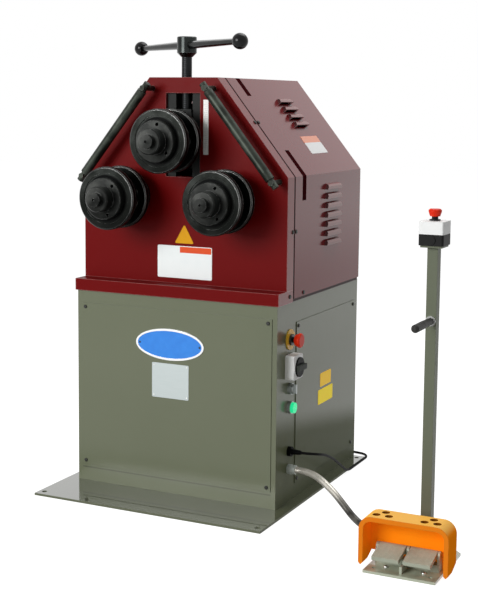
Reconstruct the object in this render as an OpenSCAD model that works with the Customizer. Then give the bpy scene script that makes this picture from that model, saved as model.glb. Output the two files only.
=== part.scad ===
// Angle roll bender: three grooved rolls on a gabled head plate, a hand screw that lowers the top roll,
// a geared drive behind the plate, a sheet-metal cabinet and a foot switch on its own stand.
// Millimetres, +Z up, +X to the machine's right, -Y to the operator's side.
// The origin is the centre of the floor plate's underside.

/* [Cabinet] */
// Width of the cabinet
cab_w = 600; // [560:1:640]
// Depth of the cabinet
cab_d = 570; // [520:1:620]
// Height of the cabinet above the floor plate
cab_h = 532; // [500:1:600]
// Sheet thickness of the cabinet
cab_sheet = 3; // [2:0.5:4]
// Sheet thickness of the screwed access panels
panel_sheet = 2; // [1.5:0.5:3]
// Overhang of the floor plate at each side
floor_side = 34; // [30:1:60]
// Overhang of the floor plate at the front
floor_front = 164; // [120:1:220]
// Thickness of the floor plate
floor_t = 6; // [5:0.5:10]
// Diameter of the anchor holes
anchor_d = 14; // [10:1:16]
// Distance of the anchor holes from the front and rear edges
anchor_inset = 22; // [18:1:40]

/* [Controls] */
// Distance of the control column behind the cabinet's front
control_back = 81; // [75:1:90]
// Height of the emergency stop above the floor plate
estop_rise = 434; // [428:1:440]
// Height of the isolator above the floor plate
isolator_rise = 364; // [362:1:370]
// Height of the selector above the floor plate
selector_rise = 304; // [298:1:312]
// Height of the start button above the floor plate
start_rise = 254; // [230:1:262]
// Height of the mains gland above the floor plate
gland_rise = 136; // [130:1:142]
// Height of the conduit fitting above the floor plate
conduit_rise = 88; // [84:1:94]
// Diameter of the emergency stop's mushroom
estop_d = 38; // [32:1:42]
// Height of the isolator's box
isolator_h = 64; // [58:1:68]
// Width of the isolator's box
isolator_w = 58; // [56:1:64]

/* [Head] */
// Overhang of the head's base flange at the front and the sides
head_lip = 5; // [3:0.5:10]
// Thickness of the base flange
flange_t = 32; // [25:1:40]
// Distance of the front plate behind the flange's front edge
plate_setback = 50; // [40:1:60]
// Thickness of the front plate
plate_t = 42; // [40:1:50]
// Height of the plate's shoulders above the flange
shoulder_rise = 293; // [270:1:310]
// Height of the plate's top above the flange
top_rise = 546; // [535:1:570]
// Width of the plate's top edge
top_w = 202; // [180:1:230]
// Width of the screw window
window_w = 102; // [96:1:110]
// Height of the bridge above the window
bridge_h = 41; // [36:1:44]
// Sheet thickness of the rear cover
cover_sheet = 2.5; // [2:0.5:3]
// How far the rear cover hangs over the flange
cover_lap = 24; // [16:1:28]

/* [Rolls] */
// Diameter of the roll discs
roll_d = 165; // [150:1:175]
// Diameter of the roll cores
core_d = 118; // [110:1:125]
// Width of each roll disc
disc_t = 20; // [15:1:25]
// Width of the groove between the discs
groove_w = 46; // [40:1:55]
// Distance between the two lower roll axes
lower_pitch = 308; // [300:1:320]
// Height of the lower roll axes above the flange
lower_rise = 230; // [220:1:236]
// Height of the top roll axis above the lower ones
top_roll_rise = 152; // [150:1:160]
// Clear distance from the rolls to the front plate
roll_standoff = 50; // [45:1:60]
// Diameter of the roll shafts
shaft_d = 40; // [35:1:42]
// Diameter of the clamping cap in front of each roll
cap_d = 109; // [100:1:110]
// Diameter of the shaft nuts
nut_d = 67; // [60:1:72]

/* [Screw and handle] */
// Diameter of the adjusting screw
screw_d = 27; // [24:1:28]
// Height of the hub's underside above the front plate
hub_gap = 53; // [50:1:70]
// Diameter of the handle's hub
hub_d = 52; // [46:1:60]
// Height of the handle's hub
hub_h = 53; // [45:1:60]
// Distance between the ball knobs' centres
handle_span = 594; // [500:1:640]
// Diameter of the ball knobs
knob_d = 40; // [34:1:46]
// Diameter of the handle bar in the hub
bar_d = 21; // [18:1:24]

/* [Guide bars] */
// Distance of the guide bars' axes in front of the plate
rail_standoff = 45; // [40:1:55]
// Diameter of the guide bars
rail_d = 18; // [16:1:20]
// Diameter of the sleeves on the guide bars
sleeve_d = 25; // [22:1:28]
// Distance of the guide bars' axes from the sloping edges
rail_edge = 26; // [22:1:34]

/* [Foot switch stand] */
// Distance of the stand's centre from the cabinet's right side
stand_out = 432; // [420:1:480]
// Distance of the stand's front edge ahead of the cabinet's front
stand_ahead = 287; // [277:1:297]
// Width of the stand's base
stand_w = 170; // [164:1:176]
// Depth of the stand's base
stand_d = 240; // [232:1:250]
// Thickness of the stand's base
stand_t = 6; // [5:0.5:8]
// Height of the pole above the base
pole_h = 720; // [600:1:800]
// Side of the square pole
pole_side = 25; // [20:1:30]
// Height of the grip above the base
grip_rise = 547; // [450:1:580]
// Width of the pedal guard
guard_w = 212; // [206:1:224]
// Height of the pedal guard's top above the floor
guard_h = 122; // [112:1:130]
// Depth of the pedal guard
guard_d = 64; // [60:1:70]
// Wall of the pedal guard
guard_t = 11; // [8:1:12]
// Width of each pedal
pedal_w = 64; // [58:1:68]
// Side of the button box on the pole
box_side = 60; // [54:1:66]

/* [Hidden] */
$fn = 64;

// Clearances and the overrun that every cut uses
fit = 0.05;
slide_fit = 0.3;
over = 1;

// Main planes of the machine
floor_w = cab_w + 2 * floor_side;
floor_d = cab_d + floor_front;
cab_rear = floor_d / 2;
cab_front = cab_rear - cab_d;
cab_right = cab_w / 2;
cab_top = floor_t + cab_h;
head_w = cab_w + 2 * head_lip;
head_front = cab_front - head_lip;
head_top = cab_top + flange_t;
plate_front = head_front + plate_setback;
plate_rear = plate_front + plate_t;
shoulder_z = head_top + shoulder_rise;
top_z = head_top + top_rise;
slope_x = (head_w - top_w) / 2;
slope_a = atan2(top_z - shoulder_z, slope_x);
slope_len = (top_z - shoulder_z) / sin(slope_a);

// Roll axes and the faces along them
roll_x = lower_pitch / 2;
lower_z = head_top + lower_rise;
top_axis = lower_z + top_roll_rise;
roll_w = 2 * disc_t + groove_w;
roll_rear = plate_front - roll_standoff;
roll_front = roll_rear - roll_w;
cap_t = 15;
nut_t = 31;
shaft_end = 13;
cap_front = roll_front - cap_t;
nut_front = cap_front - nut_t;
shaft_front = nut_front - shaft_end;

// Straight bodies along the axes, from their end planes
module block(x, y, z) {
    translate([x[0], y[0], z[0]]) cube([x[1] - x[0], y[1] - y[0], z[1] - z[0]]);
}

module rod_x(x, y, z, d) {
    translate([x[0], y, z]) rotate([0, 90, 0]) cylinder(d = d, h = x[1] - x[0]);
}

module rod_y(x, y, z, d) {
    translate([x, y[0], z]) rotate([-90, 0, 0]) cylinder(d = d, h = y[1] - y[0]);
}

module rod_z(x, y, z, d) {
    translate([x, y, z[0]]) cylinder(d = d, h = z[1] - z[0]);
}

module ring_y(x, y, z, d, bore) {
    difference() {
        rod_y(x, y, z, d);
        rod_y(x, [y[0] - over, y[1] + over], z, bore);
    }
}

// An upright outline in X and Z, drawn out along Y between two planes
module slab_y(y) {
    translate([0, y[1], 0]) rotate([90, 0, 0]) linear_extrude(y[1] - y[0]) children();
}

// A turned piece about +Z, from pairs of radius and height
module turned(points) {
    rotate_extrude() polygon(points);
}

// A rectangle about the origin with round corners
module round_rect(w, h, r) {
    square([w - 2 * r, h], center = true);
    square([w, h - 2 * r], center = true);
    for (x = [-1, 1], y = [-1, 1])
        translate([x * (w / 2 - r), y * (h / 2 - r)]) circle(r);
}

module mirrored() {
    children();
    mirror([1, 0, 0]) children();
}

// Dome-headed screw with its underside at the origin, its head towards +Z
module dome_screw(head_d, head_h, shank_d, shank_l) {
    turned([[0, -shank_l], [shank_d / 2, -shank_l], [shank_d / 2, 0], [head_d / 2, 0],
        [head_d / 2, head_h / 2], [head_d / 3, head_h], [0, head_h]]);
}

// The floor plate carries the cabinet and takes an anchor bolt at each corner
anchor_x = floor_w / 2 - floor_side / 2;
anchor_y = floor_d / 2 - anchor_inset;

module floor_plate() {
    color("dimgray")
        difference() {
            block([-floor_w / 2, floor_w / 2], [-floor_d / 2, floor_d / 2], [0, floor_t]);
            for (x = [-anchor_x, anchor_x], y = [-anchor_y, anchor_y])
                rod_z(x, y, [-over, floor_t + over], anchor_d);
        }
}

// The cabinet is a folded sheet box, open behind its two screwed panels
panel_lap = 20;
panel_screw_inset = 11;
front_panel_margin = 14;
front_panel_low = 46;
front_panel_drop = 34;
side_panel_front = 121;
side_panel_rear = 27;
side_panel_low = 39;
side_panel_drop = 58;
panel_screw_d = 6;
panel_head_d = 10;
panel_head_h = 3;
panel_screw_len = 14;
front_panel_x = [-cab_right + front_panel_margin, cab_right - front_panel_margin];
front_panel_z = [floor_t + front_panel_low, cab_top - front_panel_drop];
side_panel_y = [cab_front + side_panel_front, cab_rear - side_panel_rear];
side_panel_z = [floor_t + side_panel_low, cab_top - side_panel_drop];
control_y = cab_front + control_back;
bush_d = 22;
gland_hole_d = 20;
cable_hole_d = 120;

function ends_in(r, inset) = [r[0] + inset, r[1] - inset];

// Puts its child on the front panel's four screws, pointing out of the front
module front_panel_screws() {
    for (x = ends_in(front_panel_x, panel_screw_inset), z = ends_in(front_panel_z, panel_screw_inset))
        translate([x, cab_front - panel_sheet, z]) rotate([90, 0, 0]) children();
}

// Puts its child on the side panel's four screws, pointing out of the side
module side_panel_screws() {
    for (y = ends_in(side_panel_y, panel_screw_inset), z = ends_in(side_panel_z, panel_screw_inset))
        translate([cab_right + panel_sheet, y, z]) rotate([0, 90, 0]) children();
}

module panel_screw_hole() {
    translate([0, 0, -panel_screw_len - over])
        cylinder(d = panel_screw_d + 2 * slide_fit, h = panel_screw_len + 2 * over);
}

module cabinet_shell() {
    color([0.42, 0.44, 0.36])
        difference() {
            block([-cab_right, cab_right], [cab_front, cab_rear], [floor_t, cab_top]);
            block([-cab_right + cab_sheet, cab_right - cab_sheet],
                [cab_front + cab_sheet, cab_rear - cab_sheet], [floor_t - over, cab_top - cab_sheet]);
            block(ends_in(front_panel_x, panel_lap), [cab_front - over, cab_front + cab_sheet + over],
                ends_in(front_panel_z, panel_lap));
            block([cab_right - cab_sheet - over, cab_right + over], ends_in(side_panel_y, panel_lap),
                ends_in(side_panel_z, panel_lap));
            rod_z(0, 0, [cab_top - cab_sheet - over, cab_top + over], cable_hole_d);
            for (rise = [estop_rise, selector_rise, start_rise])
                rod_x([cab_right - cab_sheet - over, cab_right + over], control_y, floor_t + rise,
                    bush_d + 2 * fit);
            for (rise = [gland_rise, conduit_rise])
                rod_x([cab_right - cab_sheet - over, cab_right + over], control_y, floor_t + rise,
                    gland_hole_d + 2 * fit);
            front_panel_screws() panel_screw_hole();
            side_panel_screws() panel_screw_hole();
        }
}

module access_panels() {
    color([0.44, 0.46, 0.38])
        difference() {
            union() {
                block(front_panel_x, [cab_front - panel_sheet, cab_front], front_panel_z);
                block([cab_right, cab_right + panel_sheet], side_panel_y, side_panel_z);
            }
            front_panel_screws() panel_screw_hole();
            side_panel_screws() panel_screw_hole();
        }
}

module panel_screw() {
    dome_screw(panel_head_d, panel_head_h, panel_screw_d, panel_screw_len);
}

module panel_screws() {
    color("gray") {
        front_panel_screws() panel_screw();
        side_panel_screws() panel_screw();
    }
}

// The head's base flange: its rear stretch is narrower, because the cover's skin hangs over it
cover_fit = 0.5;
cover_inset = cover_sheet + cover_fit;
cover_rear_in = 5;
cover_rear = cab_rear - cover_rear_in;
cover_low = head_top - cover_lap;
cover_screw_d = 5;
cover_head_d = 11;
cover_head_h = 3;
cover_screw_len = 12;
seam_gap = 4;
band_screw_in = 8;
seam_screw_back = 12;
flange_screw_back = 67;
flange_screw_drop = 15;
flange_front_screw = 70;
side_screw_drop = 142;
slope_screw_share = 0.455;

module head_base() {
    color([0.45, 0.09, 0.1])
        difference() {
            union() {
                block([-head_w / 2, head_w / 2], [head_front, plate_rear], [cab_top, head_top]);
                block([-head_w / 2 + cover_inset, head_w / 2 - cover_inset],
                    [plate_rear - over, cover_rear - cover_inset], [cab_top, head_top]);
            }
            rod_z(0, 0, [cab_top - over, head_top + over], cable_hole_d);
            cover_screw_places() cover_screw_hole();
        }
}

// Gabled outline of the head, drawn in by a wall's thickness, down to a given height
function gable(inset, low) =
    let (side = head_w / 2 - inset,
        shoulder = shoulder_z - inset * tan((90 - slope_a) / 2),
        ridge = top_w / 2 - inset * tan(slope_a / 2),
        top = top_z - inset)
    [[-side, low], [side, low], [side, shoulder], [ridge, top], [-ridge, top], [-side, shoulder]];

// Places on the right side wall and on the right slope, with X down the sheet and Z out of it
module on_side(y, z) {
    translate([head_w / 2, y, z]) rotate([0, 90, 0]) children();
}

module on_slope(y, run) {
    translate([top_w / 2, y, top_z]) rotate([0, slope_a, 0]) translate([run, 0, 0]) children();
}

// Puts its child on every screw of the rear cover and of the flange, pointing out of the sheet
module cover_screw_places() {
    mirrored() {
        for (y = [plate_rear - band_screw_in, plate_rear + seam_screw_back]) {
            on_slope(y, slope_len * slope_screw_share) children();
            on_side(y, shoulder_z - side_screw_drop) children();
        }
        on_side(plate_rear + flange_screw_back, head_top - flange_screw_drop) children();
        on_side(head_front + flange_front_screw, head_top - flange_screw_drop) children();
    }
}

module cover_screw_hole() {
    translate([0, 0, -cover_screw_len - over])
        cylinder(d = cover_screw_d + 2 * slide_fit, h = cover_screw_len + 2 * over);
}

module cover_screws() {
    color("black")
        cover_screw_places() dome_screw(cover_head_d, cover_head_h, cover_screw_d, cover_screw_len);
}

// The front plate holds the lower bearings, the window of the carriage and the bridge of the screw
window_low = 97;
window_z = [top_axis - window_low, top_z - bridge_h];
screw_y = (plate_front + plate_rear) / 2;
bearing_d = 80;
bearing_w = 18;
bearing_stop_d = 64;
rim_depth = 20;
rim_t = 14;
nut_body_d = 35;
nut_flange_d = 38;
nut_flange_t = 5;
post_d = 14;
post_sink = 12;

module front_plate() {
    color([0.45, 0.09, 0.1])
        difference() {
            union() {
                slab_y([plate_front, plate_rear]) polygon(gable(0, head_top));
                slab_y([plate_rear - over, plate_rear + rim_depth])
                    difference() {
                        polygon(gable(cover_inset, head_top));
                        polygon(gable(cover_inset + rim_t, head_top - over));
                    }
            }
            block([-window_w / 2, window_w / 2], [plate_front - over, plate_rear + over], window_z);
            rod_z(0, screw_y, [window_z[1] - over, top_z + over], nut_body_d + 2 * fit);
            rod_z(0, screw_y, [window_z[1] - over, window_z[1] + nut_flange_t], nut_flange_d + 2 * fit);
            for (x = [-roll_x, roll_x]) {
                rod_y(x, [plate_front - over, plate_front + bearing_w], lower_z, bearing_d + 2 * fit);
                rod_y(x, [plate_front, plate_rear + over], lower_z, bearing_stop_d);
            }
            cover_screw_places() cover_screw_hole();
            rail_posts(post_sink) cylinder(d = post_d + 2 * fit, h = post_sink + over);
        }
}

// Two hardened rails in the window: the neck of the carriage runs between them
rail_gap = 49.5;
rail_recess = 8;

module guide_rails() {
    color([0.16, 0.17, 0.16])
        mirrored()
            block([rail_gap / 2, window_w / 2], [plate_front + rail_recess, plate_rear], window_z);
}

// L-section gibs on the back of the plate keep the carriage against the rails
car_flange_w = 150;
car_flange_t = 26;
car_body_w = 112;
car_h = 130;
car_depth = 96;
car_front = plate_rear + slide_fit;
gib_side = 28;
gib_lip_t = 18;
gib_lip_gap = 1.5;
gib_run = 40;

module carriage_gibs() {
    lip_y = car_front + car_flange_t + slide_fit;
    z = [top_axis - car_h / 2 - gib_run, top_axis + car_h / 2 + gib_run / 2];
    x = car_flange_w / 2 + slide_fit;
    color("dimgray")
        mirrored() {
            block([x, x + gib_side], [plate_rear, lip_y + gib_lip_t], z);
            block([car_body_w / 2 + gib_lip_gap, x + over], [lip_y, lip_y + gib_lip_t], z);
        }
}

// Bronze nut of the adjusting screw, its flange let into the bridge's underside
module lead_nut() {
    color("peru")
        translate([0, screw_y, window_z[1]])
            turned([[screw_d / 2 + fit, 0], [nut_flange_d / 2, 0], [nut_flange_d / 2, nut_flange_t],
                [nut_body_d / 2, nut_flange_t], [nut_body_d / 2, bridge_h],
                [screw_d / 2 + fit, bridge_h]]);
}

// Rear plate of the drive, held off the front plate by four tie bars
gear_gap = 16;
gear_w = 34;
gear_rear_gap = 10;
rear_plate_t = 28;
rear_plate_w = 500;
rear_plate_h = 440;
rear_plate_cut = 170;
car_rear = car_front + car_depth;
gear_front = car_rear + gear_gap;
gear_rear = gear_front + gear_w;
rear_plate_front = gear_rear + gear_rear_gap;
rear_plate_rear = rear_plate_front + rear_plate_t;
tie_d = 28;
tie_low_x = 225;
tie_low_rise = 40;
tie_top_x = 126;
tie_top_rise = 400;
pinion_shaft_d = 36;
tie_places = [[tie_low_x, head_top + tie_low_rise], [tie_top_x, head_top + tie_top_rise]];

module rear_bearing_plate() {
    low = head_top;
    high = head_top + rear_plate_h;
    side = rear_plate_w / 2;
    color("slategray")
        difference() {
            slab_y([rear_plate_front, rear_plate_rear])
                polygon([[-side, low], [side, low], [side, high - rear_plate_cut],
                    [side - rear_plate_cut / 2, high], [-side + rear_plate_cut / 2, high],
                    [-side, high - rear_plate_cut]]);
            for (x = [-roll_x, roll_x]) {
                rod_y(x, [rear_plate_front - over, rear_plate_front + bearing_w], lower_z,
                    bearing_d + 2 * fit);
                rod_y(x, [rear_plate_front, rear_plate_rear + over], lower_z, bearing_stop_d);
            }
            rod_y(0, [rear_plate_front - over, rear_plate_rear + over], lower_z,
                pinion_shaft_d + 2 * fit);
        }
}

module tie_bars() {
    color("gray")
        for (p = tie_places, side = [-1, 1])
            rod_y(side * p[0], [plate_rear, rear_plate_front], p[1], tie_d);
}

module bearing_ring(x, y, z) {
    ring_y(x, [y, y + bearing_w], z, bearing_d, shaft_d + 2 * fit);
}

module lower_bearings() {
    color("silver")
        for (x = [-roll_x, roll_x], y = [plate_front, rear_plate_front])
            bearing_ring(x, y, lower_z);
}

// Turned caps close the front bearings
cap_ring_d = 112;
cap_ring_t = 20;
cap_bore_d = 62;

module bearing_caps() {
    color([0.1, 0.1, 0.1])
        for (x = [-roll_x, roll_x])
            ring_y(x, [plate_front - cap_ring_t, plate_front], lower_z, cap_ring_d, cap_bore_d);
}

// Pressed louver: a hood open at its lower edge, X down the sheet and Z out of it
louver_len = 108;
louver_drop = 16;
louver_proud = 11;
louver_crown_shares = [[0.2, 0.7], [0.5, 1]];
louver_taper = 10;
side_louvers = 7;
side_louver_pitch = 25.5;
side_louver_top = 28;
side_louver_y = 141;
slope_louvers = 4;
slope_louver_pitch = 26.5;
slope_louver_top = 72;
slope_louver_y = 148;
slope_louver_len = 90;
slot_w = 25;
upper_slot_back = 74;
upper_slot_len = 60;
lower_slot_back = 64;
lower_slot_start = 84;
lower_slot_end = 64;
slot_lap = 8;

// The rounded crown of a hood, drawn in by a wall's thickness
function louver_crown(wall) =
    [for (s = louver_crown_shares) [louver_drop * s[0] + wall, louver_proud * s[1] - wall]];

module louver_hood(len) {
    intersection() {
        translate([0, len / 2, 0]) rotate([90, 0, 0])
            linear_extrude(len)
                polygon(concat([[0, -cover_sheet / 2], [0, 0]], louver_crown(0),
                    [[louver_drop, louver_proud], [louver_drop, -cover_sheet / 2]]));
        translate([0, 0, -cover_sheet])
            linear_extrude(louver_proud + 2 * cover_sheet)
                polygon([[0, louver_taper - len / 2], [louver_drop, -len / 2],
                    [louver_drop, len / 2], [0, len / 2 - louver_taper]]);
    }
}

module louver_mouth(len) {
    inner = len - 2 * louver_taper;
    translate([0, inner / 2, 0]) rotate([90, 0, 0])
        linear_extrude(inner)
            polygon(concat([[cover_sheet * 2, -cover_sheet - over]], louver_crown(cover_sheet),
                [[louver_drop + over, louver_proud - cover_sheet], [louver_drop + over, over],
                    [louver_drop - over, -cover_sheet - over]]));
}

module louver_places() {
    for (i = [0 : side_louvers - 1])
        on_side(side_louver_y, shoulder_z - side_louver_top - i * side_louver_pitch)
            children(0);
    for (i = [0 : slope_louvers - 1])
        on_slope(slope_louver_y, slope_louver_top + i * slope_louver_pitch)
            children(1);
}

// The lower slot runs over the shoulder's fold, part on the slope and part on the side
module lower_slot() {
    mid = plate_rear + lower_slot_back;
    fold = [head_w / 2, shoulder_z];
    start = fold - lower_slot_start * [cos(slope_a), -sin(slope_a)];
    out = [sin(slope_a), cos(slope_a)];
    deep = cover_sheet + over;
    slab_y([mid - slot_w / 2, mid + slot_w / 2])
        polygon([start - out * deep, start + out * over, fold + [over, over],
            fold + [over, -lower_slot_end], fold - [deep, lower_slot_end], fold - [deep, deep]]);
}

// A strip welded behind a slot closes it, so that it shows as a groove
module slot_strip(back, z) {
    half = slot_w / 2 + slot_lap;
    intersection() {
        slab_y([plate_rear + back - half, plate_rear + back + half])
            difference() {
                polygon(gable(cover_sheet - over, cover_low));
                polygon(gable(2 * cover_sheet, cover_low - over));
            }
        block([top_w / 2 - slot_lap, head_w / 2], [plate_rear, cover_rear], z);
    }
}

// The rear cover is one folded skin over the drive, louvered on both sides, a seam's width behind the plate
module rear_cover() {
    color([0.5, 0.12, 0.14]) {
        mirrored() {
            slot_strip(upper_slot_back, [top_z - (upper_slot_len + slot_lap) * sin(slope_a), top_z]);
            slot_strip(lower_slot_back, [shoulder_z - lower_slot_end - slot_lap,
                shoulder_z + (lower_slot_start + slot_lap) * sin(slope_a)]);
        }
        difference() {
            union() {
                slab_y([plate_rear + seam_gap, cover_rear])
                    polygon(gable(0, cover_low));
                mirrored()
                    louver_places() {
                        louver_hood(louver_len);
                        louver_hood(slope_louver_len);
                    }
            }
            slab_y([plate_rear - over, cover_rear - cover_sheet])
                polygon(gable(cover_sheet, cover_low - over));
            mirrored() {
                louver_places() {
                    louver_mouth(louver_len);
                    louver_mouth(slope_louver_len);
                }
                on_slope(plate_rear + upper_slot_back, -over)
                    translate([0, -slot_w / 2, -cover_sheet - over])
                        cube([upper_slot_len + over, slot_w, cover_sheet + 2 * over]);
                lower_slot();
            }
            cover_screw_places() cover_screw_hole();
        }
    }
}

// Guide bars along the sloping edges, each on two posts that stand in the plate
bar_top_run = 0;
bar_low_run = 10;
bar_post_in = 16;
sleeve_top_in = 26;
sleeve_low_in = 26;
post_proud = 4;
bar_run = [bar_top_run, slope_len + bar_low_run];
bar_y = plate_front - rail_standoff;

// Puts its child on the four posts' feet, pointing out of the plate's front
module rail_posts(sink) {
    mirrored()
        for (run = ends_in(bar_run, bar_post_in))
            on_slope(plate_front + sink, run)
                translate([0, 0, -rail_edge]) rotate([90, 0, 0]) children();
}

module guide_bars() {
    sleeve = [bar_run[0] + sleeve_top_in, bar_run[1] - sleeve_low_in];
    color([0.2, 0.21, 0.2]) {
        mirrored()
            difference() {
                on_slope(bar_y, 0)
                    translate([0, 0, -rail_edge]) rotate([0, 90, 0])
                        translate([0, 0, bar_run[0]])
                            cylinder(d = rail_d, h = bar_run[1] - bar_run[0]);
                rail_posts(post_sink)
                    cylinder(d = post_d + 2 * fit, h = post_sink + rail_standoff + rail_d);
            }
        mirrored()
            on_slope(bar_y, sleeve[0])
                translate([0, 0, -rail_edge]) rotate([0, 90, 0])
                    difference() {
                        cylinder(d = sleeve_d, h = sleeve[1] - sleeve[0]);
                        translate([0, 0, -over])
                            cylinder(d = rail_d + 2 * fit, h = sleeve[1] - sleeve[0] + 2 * over);
                    }
        rail_posts(post_sink)
            cylinder(d = post_d, h = post_sink + rail_standoff + rail_d / 2 + post_proud);
    }
}

// Worm gearbox on its pedestal, with the motor flanged to its right side
gearbox_gap = 24;
gearbox_w = 150;
gearbox_d = 140;
gearbox_top = 72;
gearbox_drop = 130;
worm_drop = 74;
pedestal_t = 16;
boss_d = 90;
motor_d = 144;
motor_len = 205;
motor_flange_d = 160;
motor_flange_t = 14;
fan_d = 132;
fan_len = 30;
fin_count = 16;
fin_t = 4;
fin_h = 6;
gearbox_front = rear_plate_rear + gearbox_gap;
gearbox_mid = gearbox_front + gearbox_d / 2;

module gearbox() {
    low = lower_z - gearbox_drop;
    color([0.3, 0.33, 0.36])
        difference() {
            union() {
                block([-gearbox_w / 2, gearbox_w / 2], [gearbox_front, gearbox_front + gearbox_d],
                    [low, lower_z + gearbox_top]);
                rod_y(0, [gearbox_front - gearbox_gap + slide_fit, gearbox_front + over], lower_z, boss_d);
                for (x = [-gearbox_w / 2, gearbox_w / 2 - pedestal_t])
                    block([x, x + pedestal_t], [gearbox_front, gearbox_front + gearbox_d],
                        [head_top + pedestal_t, low + over]);
                block([-gearbox_w / 2, gearbox_w / 2], [gearbox_front, gearbox_front + gearbox_d],
                    [head_top, head_top + pedestal_t]);
            }
            rod_y(0, [gearbox_front - gearbox_gap - over, gearbox_mid], lower_z, pinion_shaft_d + 2 * fit);
        }
}

module drive_motor() {
    x = gearbox_w / 2;
    z = lower_z - worm_drop;
    body = [x + motor_flange_t - over, x + motor_len - fan_len + over];
    color([0.22, 0.24, 0.26]) {
        rod_x([x, x + motor_flange_t], gearbox_mid, z, motor_flange_d);
        rod_x(body, gearbox_mid, z, motor_d - 2 * fin_h);
        rod_x([x + motor_len - fan_len, x + motor_len], gearbox_mid, z, fan_d);
        for (i = [0 : fin_count - 1])
            translate([body[0], gearbox_mid, z]) rotate([i * 360 / fin_count, 0, 0])
                translate([0, -fin_t / 2, 0]) cube([body[1] - body[0], fin_t, motor_d / 2]);
    }
}

// Carriage of the top roll: a flanged block behind the rails, with a neck between them for the screw
neck_low = 32;
neck_recess = 1;
journal_d = 20;
journal_len = 26;
journal_gap = 4;
car_bore_d = 64;
neck_x = rail_gap / 2 - slide_fit;
neck_front = plate_front + neck_recess;
car_z = [top_axis - car_h / 2, top_axis + car_h / 2];

module carriage() {
    color([0.14, 0.14, 0.14])
        difference() {
            union() {
                block([-car_flange_w / 2, car_flange_w / 2], [car_front, car_front + car_flange_t], car_z);
                block([-car_body_w / 2, car_body_w / 2], [car_front, car_rear], car_z);
                block([-neck_x, neck_x], [neck_front, car_front + over], [top_axis + neck_low, car_z[1]]);
            }
            rod_y(0, [car_front - over, car_rear + over], top_axis, car_bore_d);
            rod_y(0, [car_front - over, car_front + bearing_w], top_axis, bearing_d + 2 * fit);
            rod_y(0, [car_rear - bearing_w, car_rear + over], top_axis, bearing_d + 2 * fit);
            rod_z(0, screw_y, [car_z[1] - journal_len - journal_gap, car_z[1] + over],
                journal_d + 2 * fit);
        }
}

module carriage_bearings() {
    color("silver")
        for (y = [car_front, car_rear - bearing_w])
            bearing_ring(0, y, top_axis);
}

// The keeper holds the screw's collar down on the carriage's neck
collar_d = 36;
collar_t = 8;
keeper_t = 16;
keeper_edge = 1;
collar_play = 0.2;

module screw_keeper() {
    color([0.2, 0.2, 0.2])
        difference() {
            block([-neck_x + keeper_edge, neck_x - keeper_edge],
                [neck_front + keeper_edge, plate_rear - keeper_edge], [car_z[1], car_z[1] + keeper_t]);
            rod_z(0, screw_y, [car_z[1] - over, car_z[1] + collar_t + 2 * collar_play],
                collar_d + 2 * slide_fit);
            rod_z(0, screw_y, [car_z[1], car_z[1] + keeper_t + over], screw_d + 2 * slide_fit);
        }
}

// Adjusting screw with its journal, collar, thread and the spigot in the hub
hub_low = top_z + hub_gap;
spigot_d = 20;
spigot_len = 20;
hub_chamfer = 11;
hub_edge = 2;
bar_rise = 31;
bar_z = hub_low + bar_rise;
handle_turn = -36;

module adjusting_screw() {
    seat = car_z[1] + collar_play;
    color([0.18, 0.19, 0.19])
        translate([0, screw_y, 0])
            turned([[0, seat - journal_len], [journal_d / 2, seat - journal_len], [journal_d / 2, seat],
                [collar_d / 2, seat], [collar_d / 2, seat + collar_t], [screw_d / 2, seat + collar_t],
                [screw_d / 2, hub_low], [spigot_d / 2, hub_low], [spigot_d / 2, hub_low + spigot_len],
                [0, hub_low + spigot_len]]);
}

module handle_hub() {
    r = hub_d / 2;
    color([0.2, 0.21, 0.21])
        difference() {
            translate([0, screw_y, hub_low])
                turned([[0, 0], [r - hub_chamfer, 0], [r, hub_chamfer], [r, hub_h - hub_edge],
                    [r - hub_edge, hub_h], [0, hub_h]]);
            rod_z(0, screw_y, [hub_low - over, hub_low + spigot_len], spigot_d + 2 * fit);
            translate([0, screw_y, bar_z]) rotate([0, 0, handle_turn])
                rod_x([-hub_d, hub_d], 0, 0, bar_d + 2 * fit);
        }
}

// The handle bar tapers from the hub to its threaded ends in the ball knobs
bar_end_d = 15;
bar_hub_len = 32;
knob_hole = 14;
knob_flat = 3;
bar_half = handle_span / 2 - knob_d / 2 + knob_hole;

module on_handle() {
    translate([0, screw_y, bar_z]) rotate([0, 0, handle_turn]) rotate([0, 90, 0]) children();
}

module handle_bar() {
    face = handle_span / 2 - knob_d / 2 + knob_flat;
    color([0.22, 0.23, 0.23])
        on_handle()
            turned([[0, -bar_half], [bar_end_d / 2, -bar_half], [bar_end_d / 2, -face],
                [bar_d / 2, -bar_hub_len], [bar_d / 2, bar_hub_len], [bar_end_d / 2, face],
                [bar_end_d / 2, bar_half], [0, bar_half]]);
}

module ball_knobs() {
    color([0.06, 0.06, 0.06])
        on_handle()
            for (side = [0, 180])
                rotate([0, side, 0])
                    difference() {
                        translate([0, 0, handle_span / 2]) sphere(d = knob_d);
                        cylinder(d = bar_end_d + 2 * fit, h = bar_half);
                        cylinder(d = knob_d, h = handle_span / 2 - knob_d / 2 + knob_flat);
                    }
}

// Roll shafts run from the nut to the rear bearing, with a shoulder behind the roll
shoulder_d = 58;
neck_d = 46;
shaft_tip_d = 36;
center_d = 8;
center_depth = 6;
gear_seat_d = 44;
thrust_gap = 0.5;

module shaft_nose(x, z) {
    difference() {
        union() {
            rod_y(x, [shaft_front, nut_front + over], z, shaft_tip_d);
            rod_y(x, [nut_front, roll_rear + over], z, shaft_d);
        }
        rod_y(x, [shaft_front - over, shaft_front + center_depth], z, center_d);
    }
}

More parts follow.
